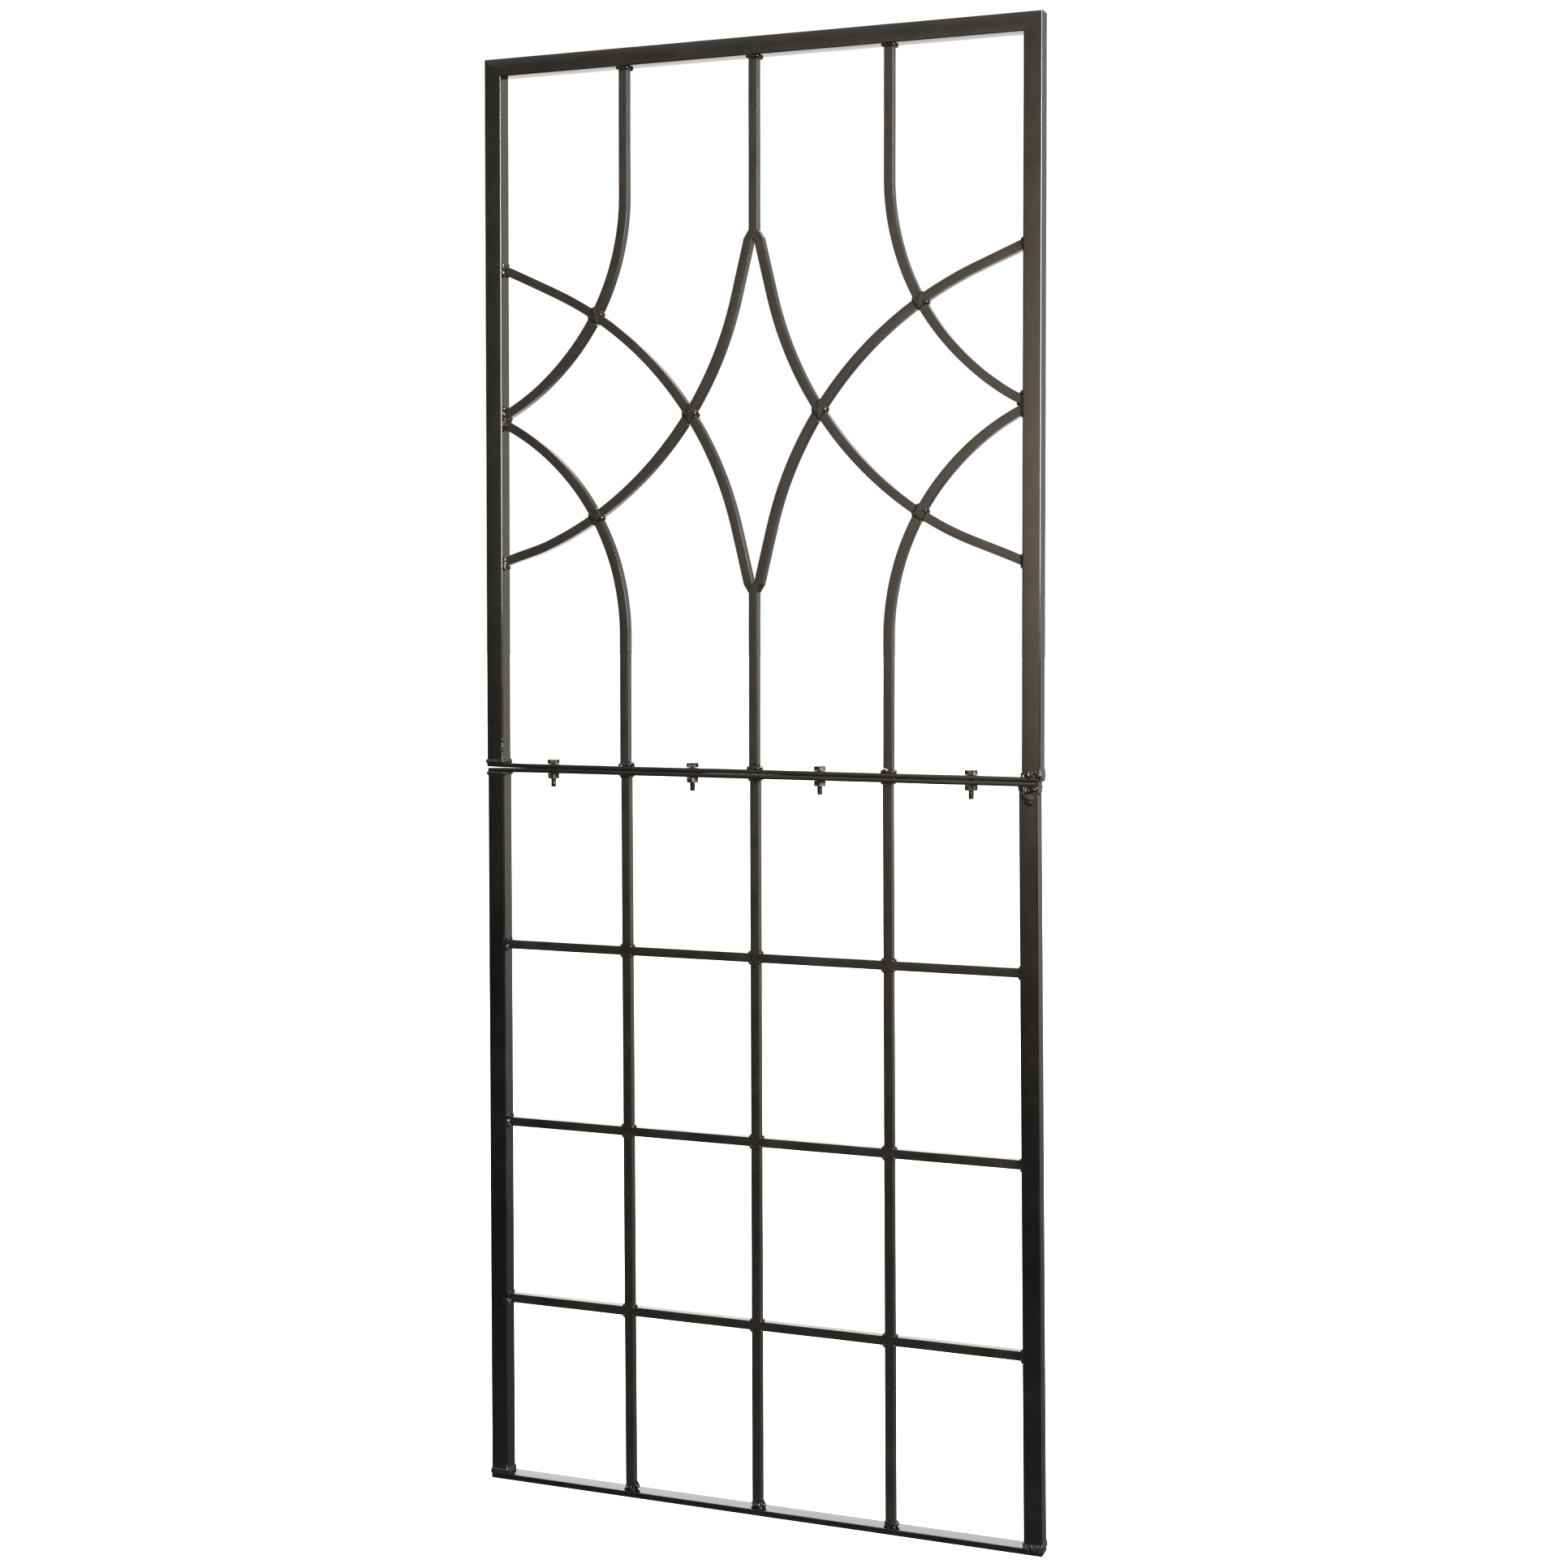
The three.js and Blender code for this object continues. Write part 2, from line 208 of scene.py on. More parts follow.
def bump(tree, layers):
    """Bumps laid over each other. Each layer is (height, strength, depth in metres)."""
    normal = None
    for height, strength, depth in layers:
        node = tree.nodes.new("ShaderNodeBump")
        node.inputs["Strength"].default_value = strength
        node.inputs["Distance"].default_value = depth
        tree.links.new(height, node.inputs["Height"])
        if normal is not None:
            tree.links.new(normal, node.inputs["Normal"])
        normal = node.outputs["Normal"]
    return normal


def black_paint(name, tones, smoothest, roughest, ripple, skin):
    """Brushed on semi-gloss paint, brown-black, with the brush's ripple and a fine skin."""
    material, tree, shader = new_material(name)
    cloud = grain(tree, 22, detail=5, roughness=0.6)
    colour = ramp(tree, cloud, list(zip((0.30, 0.52, 0.74), tones)))
    tree.links.new(colour, shader.inputs["Base Color"])
    wipe = grain(tree, 40, detail=4, roughness=0.6)
    tree.links.new(spread(tree, wipe, smoothest, roughest), shader.inputs["Roughness"])
    normal = bump(tree, [
        (grain(tree, 60, detail=2), 0.5, ripple),
        (grain(tree, 420, detail=2, roughness=0.5), 0.3, skin),
    ])
    tree.links.new(normal, shader.inputs["Normal"])
    shader.inputs["IOR"].default_value = 1.5
    return material


def zinc_plate():
    """Dull yellow-grey plating, smeared and darker in patches."""
    material, tree, shader = new_material("zinc_plate")
    cloud = grain(tree, 260, detail=4, roughness=0.6)
    colour = ramp(tree, cloud, [
        (0.30, (0.020, 0.016, 0.012)),
        (0.50, (0.062, 0.055, 0.043)),
        (0.72, (0.230, 0.215, 0.185)),
    ])
    tree.links.new(colour, shader.inputs["Base Color"])
    tree.links.new(spread(tree, grain(tree, 500), 0.18, 0.38), shader.inputs["Roughness"])
    normal = bump(tree, [(grain(tree, 900, detail=4, roughness=0.6), 0.35, 0.00008)])
    tree.links.new(normal, shader.inputs["Normal"])
    shader.inputs["Metallic"].default_value = 0.9
    return material


def floor_paint():
    material, tree, shader = new_material("floor_white")
    colour = ramp(tree, grain(tree, 2), [(0.0, (0.93, 0.93, 0.92)), (1.0, (0.96, 0.96, 0.96))])
    tree.links.new(colour, shader.inputs["Base Color"])
    shader.inputs["Roughness"].default_value = 0.9
    shader.inputs["Emission Color"].default_value = (1, 1, 1, 1)
    shader.inputs["Emission Strength"].default_value = 1.0
    return material


TUBE_TONES = ((0.0026, 0.0026, 0.0026), (0.0034, 0.0033, 0.0032), (0.0060, 0.0056, 0.0052))
BAR_TONES = ((0.0050, 0.0045, 0.0040), (0.0075, 0.0066, 0.0058), (0.0130, 0.0112, 0.0096))
TUBE_PAINT = black_paint("black_paint_on_tube", TUBE_TONES, 0.10, 0.17, 0.00009, 0.00001)
BAR_PAINT = black_paint("black_paint_on_bar", BAR_TONES, 0.16, 0.28, 0.00012, 0.00002)
WELD_PAINT = black_paint("black_paint_on_welds", TUBE_TONES, 0.10, 0.22, 0.00045, 0.00008)
ZINC = zinc_plate()


# ---- Pieces ---------------------------------------------------------------------------


def smoothed(share):
    return share * share * (3 - 2 * share)


def pull_at(x, z):
    """How far welding pulled the steel at this place sideways."""
    if z > JOINT_HEIGHT:
        pulls = UPPER_PULLS
        share = (z - JOINT_HEIGHT) / (PANEL_HEIGHT - JOINT_HEIGHT)
    else:
        pulls = LOWER_PULLS
        share = z / JOINT_HEIGHT
    places, feet, tops = zip(*pulls)
    foot = np.interp(x / MM, places, feet)
    top = np.interp(x / MM, places, tops)
    return (foot + (top - foot) * share) * MM


def lift_at(x, z):
    """How far above the drawing the end of a long arc was welded to its stile."""
    for side, height, start, lift in ARC_END_LIFTS:
        far = abs(z - height)
        if x * side > start and far < LIFT_REACH:
            out = smoothed(min(1, (x * side - start) / (STILE_FACE - start)))
            near = smoothed(min(1, (LIFT_REACH - far) / (LIFT_REACH - LIFT_FULL_REACH)))
            return lift * out * near
    return 0.0


def as_welded(point):
    """Where a point of the square drawing lies on the hand-made panel."""
    waver = noise.noise_vector(point / HAND_WAVER_LENGTH) * HAND_WAVER
    waver.z *= smoothed(min(1, point.z / (40 * MM)))
    across = point.x + pull_at(point.x, point.z) + waver.x
    return Vector((across, point.y + waver.y, point.z + lift_at(point.x, point.z) + waver.z))


def add_piece(name, mesh, material, nodes=(), crease=35):
    """A finished mesh as a piece of the panel, standing for the named nodes."""
    mesh.materials.clear()
    mesh.materials.append(material)
    mesh.shade_smooth()
    mesh.set_sharp_from_angle(angle=math.radians(crease))
    piece = bpy.data.objects.new(name, mesh)
    bpy.context.scene.collection.objects.link(piece)
    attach(piece, BODY)
    if nodes:
        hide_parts(*nodes)
    return piece


def faced_out(mesh):
    """The mesh with all its faces turned outwards."""
    shape = bmesh.new()
    shape.from_mesh(mesh)
    bmesh.ops.recalc_face_normals(shape, faces=shape.faces[:])
    shape.to_mesh(mesh)
    shape.free()
    return mesh


def mesh_of(name, shape):
    """A bmesh as a mesh, faces out, and the bmesh freed."""
    bmesh.ops.recalc_face_normals(shape, faces=shape.faces[:])
    mesh = bpy.data.meshes.new(name)
    shape.to_mesh(mesh)
    shape.free()
    return mesh


def add_steel(node, shape, paint=None, bend=as_welded):
    """Painted steel in place of a node, bent from the drawing to how it was welded."""
    for vertex in shape.verts:
        vertex.co = bend(vertex.co)
    add_piece(f"{node}_steel", mesh_of(node, shape), paint or BAR_PAINT, (node,))


# ---- Swept steel ----------------------------------------------------------------------


def outline(width, depth, edge, crown, edge_steps=4):
    """Points round a rectangle whose edges are rounded and whose faces are slightly domed."""
    reach_x = width / 2 - crown - edge
    reach_y = depth / 2 - crown - edge
    corners = ((reach_x, reach_y), (-reach_x, reach_y), (-reach_x, -reach_y), (reach_x, -reach_y))
    points = []
    for quarter, (x, y) in enumerate(corners):
        start = quarter * math.pi / 2
        for step in range(edge_steps + 1):
            angle = start + step / edge_steps * math.pi / 2
            points.append(Vector((x + edge * math.cos(angle), y + edge * math.sin(angle))))
        next_x, next_y = corners[(quarter + 1) % 4]
        outward = Vector((math.cos(start + math.pi / 2), math.sin(start + math.pi / 2)))
        for share in FACE_SHARES:
            on_face = Vector((x + (next_x - x) * share, y + (next_y - y) * share))
            points.append(on_face + outward * (edge + crown * (1 - (2 * share - 1) ** 2)))
    return points


TUBE_SKIN = outline(2 * TUBE_HALF, 2 * TUBE_HALF, TUBE_CORNER, TUBE_CROWN, edge_steps=6)
TUBE_BORE = outline(2 * (TUBE_HALF - TUBE_WALL), 2 * (TUBE_HALF - TUBE_WALL),
                    BORE_CORNER, TUBE_CROWN, edge_steps=6)
TOP_RAIL_SKIN = outline(2 * TUBE_HALF, 2 * TUBE_HALF, TUBE_CORNER, TOP_RAIL_CROWN, edge_steps=6)
BAR_SKIN = outline(2 * BAR_HALF, 2 * BAR_HALF, BAR_EDGE, BAR_CROWN)


def ring_points(centre, across, depth, section):
    return [centre + across * point.x + depth * point.y for point in section]


def sweep(stations, section, bore=None):
    """A closed skin through a section at each station, hollow if it has a bore.

    A station is the section's centre, and the directions of its width and of its depth.
    """
    shape = bmesh.new()
    skins = []
    for loop in filter(None, (section, bore)):
        rings = [[shape.verts.new(point) for point in ring_points(*station, loop)] for station in stations]
        for ring, following in zip(rings, rings[1:]):
            for index in range(len(loop)):
                after = (index + 1) % len(loop)
                shape.faces.new((ring[index], ring[after], following[after], following[index]))
        skins.append(rings)
    for end in (0, -1):
        outer = skins[0][end]
        if bore is None:
            shape.faces.new(outer)
            continue
        inner = skins[1][end]
        for index in range(len(outer)):
            after = (index + 1) % len(outer)
            shape.faces.new((outer[index], outer[after], inner[after], inner[index]))
    return shape


def between(start, end, across, depth, start_shear=None, end_shear=None):
    """Stations along a straight piece. A shear slants the section at that end."""
    count = max(2, round((end - start).length / RING_STEP))
    stations = []
    for step in range(count + 1):
        direction = across
        if step == 0 and start_shear is not None:
            direction = across + start_shear
        if step == count and end_shear is not None:
            direction = across + end_shear
        stations.append((start.lerp(end, step / count), direction, depth))
    return stations


def trim(shape, point, outward):
    """Cuts away what lies beyond a plane and closes the cut."""
    everything = shape.verts[:] + shape.edges[:] + shape.faces[:]
    cut = bmesh.ops.bisect_plane(shape, geom=everything, plane_co=point, plane_no=outward, clear_outer=True)
    rim = [item for item in cut["geom_cut"] if isinstance(item, bmesh.types.BMEdge)]
    bmesh.ops.contextual_create(shape, geom=rim)
    return shape


# ---- Frame of both sections -----------------------------------------------------------


def add_stiles():
    """Square tube. The upper pair are mitred against the top rail."""
    for side, side_name in SIDES:
        x = side * STILE_MIDDLE
        foot = Vector((x, 0, BOTTOM_RAIL_TOP - BITE))
        head = Vector((x, 0, LOWER_RAIL_BASE + BITE))
        stile = sweep(between(foot, head, X_AXIS, Y_AXIS), TUBE_SKIN, TUBE_BORE)
        add_steel(f"lower_{side_name}_stile", stile, TUBE_PAINT)
        foot = Vector((x, 0, UPPER_RAIL_TOP - BITE))
        head = Vector((x, 0, PANEL_HEIGHT - TUBE_HALF))
        slant = Z_AXIS * side
        stations = between(foot, head - Z_AXIS * 1.2 * TUBE_HALF, X_AXIS, Y_AXIS)
        stations.append((head, X_AXIS + slant, Y_AXIS))
        add_steel(f"upper_{side_name}_stile", sweep(stations, TUBE_SKIN, TUBE_BORE), TUBE_PAINT)


def add_top_rail():
    """Square tube across the top. Its width runs down from the top face."""
    height = PANEL_HEIGHT - TUBE_HALF
    left = Vector((-STILE_MIDDLE, 0, height))
    right = Vector((STILE_MIDDLE, 0, height))
    inset = X_AXIS * 1.2 * TUBE_HALF
    stations = [(left, Z_AXIS - X_AXIS, Y_AXIS)]
    stations += between(left + inset, right - inset, Z_AXIS, Y_AXIS)
    stations.append((right, Z_AXIS + X_AXIS, Y_AXIS))
    add_steel("top_rail", sweep(stations, TOP_RAIL_SKIN, TUBE_BORE), TUBE_PAINT)


def rail_gap(x):
    """The gap between the meeting rails at this place."""
    places = [(place * MM, gap * MM) for place, gap in RAIL_GAPS]
    if x <= places[0][0]:
        return places[0][1]
    for (start, low), (end, high) in zip(places, places[1:]):
        if x <= end:
            return low + (high - low) * smoothed((x - start) / (end - start))
    return places[-1][1]


def bowed_rail(direction):
    """Bends a meeting rail so that the gap between the two is the one that rail_gap gives."""
    drawn_gap = upper_rail_box[0].z - lower_rail_box[1].z

    def bend(point):
        slack = (drawn_gap - rail_gap(point.x)) / 2
        return as_welded(point) - Z_AXIS * direction * slack

    return bend


def add_flat_bars():
    depth = 2 * TUBE_HALF
    rails = (
        ("upper_meeting_rail", upper_rail_box, bowed_rail(1)),
        ("lower_meeting_rail", lower_rail_box, bowed_rail(-1)),
        ("bottom_rail", bottom_rail_box, as_welded),
    )
    for node, (low, high), bend in rails:
        thickness = high.z - low.z
        middle = (low.z + high.z) / 2
        section = outline(thickness, depth, FLAT_EDGE, FLAT_CROWN)
        left = Vector((low.x, 0, middle))
        right = Vector((high.x, 0, middle))
        ease = FLAT_EDGE / 2
        stations = between(left + X_AXIS * ease, right - X_AXIS * ease, Z_AXIS, Y_AXIS)
        shrunk = 1 - 2 * ease / thickness
        stations.insert(0, (left, Z_AXIS * shrunk, Y_AXIS * (1 - 2 * ease / depth)))
        stations.append((right, Z_AXIS * shrunk, Y_AXIS * (1 - 2 * ease / depth)))
        add_steel(node, sweep(stations, section), TUBE_PAINT, bend)


# ---- Curved pattern -------------------------------------------------------------------


def straight_points(start, end):
    count = max(1, round((end - start).length / RING_STEP))
    return [start.lerp(end, step / count) for step in range(count)]


def arc_points(centre, radius, start, end):
    count = max(2, round(abs(end - start) * radius / RING_STEP))
    points = []
    for step in range(count + 1):
        angle = start + (end - start) * step / count
        points.append(centre + Vector((math.cos(angle), math.sin(angle))) * radius)
    return points


def side_path(half):
    """In the upper right quarter: straight off the rail, then a bend out to the stile."""
    rail_height = abs((TOP_UNDERSIDE if half > 0 else UPPER_RAIL_TOP) - PATTERN_MIDDLE)
    centre = Vector((BAR_SPACING + SIDE_ARC_RADIUS, SIDE_ARC_HEIGHT))
    turn = math.acos((centre.x - STILE_FACE - OVERRUN) / SIDE_ARC_RADIUS)
    start = Vector((BAR_SPACING, rail_height + OVERRUN))
    bend = Vector((BAR_SPACING, SIDE_ARC_HEIGHT))
    return straight_points(start, bend) + arc_points(centre, SIDE_ARC_RADIUS, math.pi, math.pi + turn)


def long_path(_half):
    """From the apex: a straight lead, a long bend and a straight tail out to the stile."""
    def along(angle):
        return Vector((math.sin(angle), -math.cos(angle)))

    def across(angle):
        return Vector((math.cos(angle), math.sin(angle)))

    end_angle = LONG_ARC_LEAN + LONG_ARC_TURN
    apex = Vector((APEX_OFFSET, APEX_HEIGHT))
    start = apex - along(LONG_ARC_LEAN) * OVERRUN
    bend = apex + along(LONG_ARC_LEAN) * LONG_ARC_LEAD
    centre = bend + across(LONG_ARC_LEAN) * LONG_ARC_RADIUS
    points = straight_points(start, bend)
    points += arc_points(centre, LONG_ARC_RADIUS, math.pi + LONG_ARC_LEAN, math.pi + end_angle)
    return points + straight_points(points[-1], points[-1] + along(end_angle) * (LONG_ARC_TAIL + OVERRUN))[1:]


def placed(path, side, half):
    """A quarter's path in its place on the panel."""
    return [Vector((side * point.x, 0, PATTERN_MIDDLE + half * point.y)) for point in path]


def directions(points):
    """The direction of travel at each point."""
    found = []
    for index in range(len(points)):
        before = points[max(index - 1, 0)]
        after = points[min(index + 1, len(points) - 1)]
        found.append((after - before).normalized())
    return found


def bar_along(points):
    stations = [(point, Y_AXIS.cross(heading), Y_AXIS) for point, heading in zip(points, directions(points))]
    return sweep(stations, BAR_SKIN)


def crossing(points, others):
    """Where two flat routes cross, and the heading of each there."""
    for start, end in zip(points, points[1:]):
        for other_start, other_end in zip(others, others[1:]):
            step = end - start
            other = other_end - other_start
            turn = step.x * other.z - step.z * other.x
            if abs(turn) < 1e-12:
                continue
            gap = other_start - start
            share = (gap.x * other.z - gap.z * other.x) / turn
            other_share = (gap.x * step.z - gap.z * step.x) / turn
            if 0 <= share < 1 and 0 <= other_share < 1:
                return start + step * share, step.normalized(), other.normalized()
    raise ValueError("the routes do not cross")


def cut_bar(points, place, through, keeps_start):
    """The part of a bar before or after the one that runs through it."""
    heading = points[-1] - points[0]
    outward = Y_AXIS.cross(through)
    if outward.dot(heading) < 0:
        outward = -outward
    if not keeps_start:
        outward = -outward
    return trim(bar_along(points), place - outward * (BAR_HALF - BITE), outward)


def to_stile(shape, side):
    return trim(shape, Vector((side * (STILE_FACE + BITE), 0, 0)), X_AXIS * side)


def from_middle(shape, half):
    return trim(shape, Vector((0, 0, PATTERN_MIDDLE)), Z_AXIS * -half)


def from_apex(shape, side, half):
    apex = Vector((0, 0, PATTERN_MIDDLE + half * APEX_HEIGHT))
    return trim(trim(shape, Vector(), X_AXIS * -side), apex, Z_AXIS * half)


def from_rail(shape, half):
    height = TOP_UNDERSIDE + BITE if half > 0 else UPPER_RAIL_TOP - BITE
    return trim(shape, Vector((0, 0, height)), Z_AXIS * half)


def pattern_routes(side):
    """The four curved bars on one side, and where they cross."""
    rising = placed(long_path(-1), side, -1)
    falling = placed(long_path(1), side, 1)
    top_bar = placed(side_path(1), side, 1)
    low_bar = placed(side_path(-1), side, -1)
    return rising, falling, top_bar, low_bar


def sagging_tail(point):
    """The outer ends of the top side bars were welded on a little low."""
    share = min(1, max(0, (abs(point.x) - TAIL_SAG_START) / (STILE_FACE - TAIL_SAG_START)))
    return as_welded(point) - Z_AXIS * TAIL_SAG * smoothed(share)


def add_pattern():
    for side, side_name in SIDES:
        rising, falling, top_bar, low_bar = pattern_routes(side)
        add_steel(f"{side_name}_rising_arc", to_stile(from_apex(bar_along(rising), side, -1), side))
        place, _, through = crossing(falling, rising)
        inner = cut_bar(falling, place, through, True)
        outer = cut_bar(falling, place, through, False)
        add_steel(f"{side_name}_falling_arc_inner", from_apex(inner, side, 1))
        add_steel(f"{side_name}_falling_arc_outer", to_stile(outer, side))
        for half, half_name, bar, other in ((1, "top", top_bar, rising), (-1, "low", low_bar, falling)):
            place, _, through = crossing(bar, other)
            head = from_rail(cut_bar(bar, place, through, True), half)
            tail = from_middle(to_stile(cut_bar(bar, place, through, False), side), half)
            add_steel(f"{side_name}_{half_name}_side_bar", head)
            sag = sagging_tail if half > 0 else as_welded
            add_steel(f"{side_name}_{half_name}_side_bar_tail", tail, None, sag)


# ---- Straight bars --------------------------------------------------------------------


def upright_bar(x, base, top):
    return sweep(between(Vector((x, 0, base)), Vector((x, 0, top)), X_AXIS, Y_AXIS), BAR_SKIN)


def add_straight_bars():
    apex_top = PATTERN_MIDDLE + APEX_HEIGHT
    apex_low = PATTERN_MIDDLE - APEX_HEIGHT
    add_steel("top_centre_bar", upright_bar(0, apex_top, TOP_UNDERSIDE + BITE))
    add_steel("low_centre_bar", upright_bar(0, UPPER_RAIL_TOP - BITE, apex_low))
    for node, x in COLUMNS:
        add_steel(node, upright_bar(x, BOTTOM_RAIL_TOP - BITE, LOWER_RAIL_BASE + BITE))
    for row in ROWS:
        for bay in range(1, 5):
            node = f"{row}_crossbar_{bay}"
            low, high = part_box(node)
            middle = (low.z + high.z) / 2
            reach = 0.3 * MM + BITE
            start = Vector((low.x - reach, 0, middle))
            end = Vector((high.x + reach, 0, middle))
            add_steel(node, sweep(between(start, end, Z_AXIS, Y_AXIS), BAR_SKIN))


# ---- Welds ----------------------------------------------------------------------------


def soft_min(first, second, blend):
    """The smaller of two distances, eased where they are nearly the same."""
    share = np.clip(0.5 + 0.5 * (first - second) / blend, 0, 1)
    return first * (1 - share) + second * share - blend * share * (1 - share)


def egg(radii, turn):
    """Distances from the skin of an egg-shaped drop."""
    matrix = np.array(turn.to_matrix())
    reach = np.array(radii)

    def away(points):
        return (np.linalg.norm(points @ matrix / reach, axis=-1) - 1) * reach.min()

    return away


def hewn(faces, edge):
    """Distances from the skin of a flat-faced lump. Each face is (outward, distance)."""
    def away(points):
        found = None
        for outward, distance in faces:
            side = points @ np.array(outward) - distance
            found = side if found is None else -soft_min(-found, -side, edge)
        return found

    return away


def drop_field(drops):
    """How far each corner of a lattice is outside the fused drops, and the lattice's origin."""
    places = np.array([place for place, _, _, _ in drops])
    reaches = np.array([reach for _, reach, _, _ in drops])
    margin = 4 * WELD_GRAIN
    low = (places - reaches[:, None]).min(axis=0) - margin
    high = (places + reaches[:, None]).max(axis=0) + margin
    axes = [np.arange(low[axis], high[axis] + WELD_GRAIN, WELD_GRAIN) for axis in range(3)]
    field = np.full([len(axis) for axis in axes], margin)
    for place, reach, away, blend in drops:
        near = []
        for axis in range(3):
            first = np.searchsorted(axes[axis], place[axis] - reach - margin)
            last = np.searchsorted(axes[axis], place[axis] + reach + margin)
            near.append(slice(first, last))
        grid = np.meshgrid(*[axes[axis][near[axis]] - place[axis] for axis in range(3)], indexing="ij")
        field[tuple(near)] = soft_min(field[tuple(near)], away(np.stack(grid, axis=-1)), blend)
    return field, low


def fused_skin(drops):
    """Corners and four-sided faces of the skin round the fused drops."""
    field, low = drop_field(drops)
    inside = field < 0
    total = np.zeros([size - 1 for size in field.shape] + [3])
    count = np.zeros(total.shape[:3])
    crossings = []
    for axis in range(3):
        here = [slice(None)] * 3
        there = [slice(None)] * 3
        here[axis] = slice(None, -1)
        there[axis] = slice(1, None)
        start, end = field[tuple(here)], field[tuple(there)]
        places = np.argwhere(inside[tuple(here)] != inside[tuple(there)])
        first = start[tuple(places.T)]
        share = first / (first - end[tuple(places.T)])
        points = places.astype(float)
        points[:, axis] += share
        one, two = [other for other in range(3) if other != axis]
        cells = []
        for shift_one, shift_two in ((0, 0), (-1, 0), (-1, -1), (0, -1)):
            cell = places.copy()
            cell[:, one] += shift_one
            cell[:, two] += shift_two
            np.add.at(total, tuple(cell.T), points)
            np.add.at(count, tuple(cell.T), 1)
            cells.append(cell)
        crossings.append(cells)
    used = np.argwhere(count > 0)
    number = np.zeros(count.shape, dtype=int)
    number[tuple(used.T)] = np.arange(len(used))
    verts = total[tuple(used.T)] / count[tuple(used.T)][:, None] * WELD_GRAIN + low
    faces = [np.stack([number[tuple(cell.T)] for cell in cells], axis=1) for cells in crossings]
    return verts.tolist(), np.concatenate(faces).tolist()


class Weld:
    """Drops of metal that are fused into one skin."""

    def __init__(self, name, seed):
        self.name = name
        self.drops = []
        self.chance = random.Random(seed)

    def drop(self, place, radius, turn=(0, 0, 0), blend=WELD_BLEND):
        """One drop. The radius is one number, or one for each axis, in millimetres."""
        radii = Vector((radius, radius, radius)) if isinstance(radius, (int, float)) else Vector(radius)
        skin = egg(radii * MM, Euler([math.radians(angle) for angle in turn]))
        self.drops.append((Vector(place), max(radii) * MM, skin, blend))

    def block(self, start, end, half_width, half_depth, blend):
        """A flat-faced length of metal along a bar."""
        heading = (Vector(end) - Vector(start)).normalized()
        half_length = (Vector(end) - Vector(start)).length / 2
        across = Y_AXIS.cross(heading)
        faces = [(heading, half_length), (-heading, half_length), (across, half_width), (-across, half_width),
                 (Y_AXIS, half_depth), (-Y_AXIS, half_depth)]
        reach = math.hypot(half_length, half_width, half_depth)
        self.drops.append(((Vector(start) + Vector(end)) / 2, reach, hewn(faces, WELD_EDGE), blend))

    def bead(self, start, end, radius, jitter=0.18, blend=WELD_BLEND):
        """A row of drops from one place to another, each a little out of line."""
        start, end = Vector(start), Vector(end)
        count = max(1, round((end - start).length / (radius * MM * DROP_PITCH)))
        for step in range(count + 1):
            shift = Vector([self.chance.uniform(-jitter, jitter) * radius * MM for _ in range(3)])
            size = radius * self.chance.uniform(1 - jitter, 1 + jitter)
            self.drop(start.lerp(end, step / count) + shift, size, blend=blend)

    def chip(self, place, size):
        """A crusted lump with flat facets. The size is in millimetres."""
        faces = []
        for _ in range(11):
            outward = Vector([self.chance.gauss(0, 1) for _ in range(3)]).normalized()
            faces.append((outward, size * self.chance.uniform(0.55, 1.0) * MM))
        self.drops.append((Vector(place), 1.5 * size * MM, hewn(faces, CHIP_EDGE), 0.25 * MM))

    def fuse(self):
        verts, faces = fused_skin(self.drops)
        fused = bpy.data.meshes.new(self.name)
        fused.from_pydata(verts, [], faces)
        fused.update()
        offset = Vector([self.chance.uniform(0, 50) for _ in range(3)])
        normals = [vertex.normal.copy() for vertex in fused.vertices]
        for vertex, normal in zip(fused.vertices, normals):
            swell = noise.noise(vertex.co / (1.6 * MM) + offset) * WELD_ROUGHNESS
            vertex.co = as_welded(vertex.co + normal * swell)
            vertex.co.z = max(vertex.co.z, 0.0)
        return add_piece(self.name, faced_out(fused), WELD_PAINT, crease=60)


def foot_weld(name, seed, x, height, up, radius, front=1.0):
    """Round the end of a square bar on a flat face. Up is 1 where the bar stands on the face."""
    weld = Weld(name, seed)
    z = height + up * 0.35 * radius * MM
    reach = BAR_HALF + 0.15 * radius * MM
    corners = [(-reach, -reach), (reach, -reach), (reach, reach), (-reach, reach)]
    for index, (a, b) in enumerate(zip(corners, corners[1:] + corners[:1])):
        size = radius * (front if index == 0 else weld.chance.uniform(0.8, 1.1))
        weld.bead((x + a[0], a[1], z), (x + b[0], b[1], z), size)
    return weld


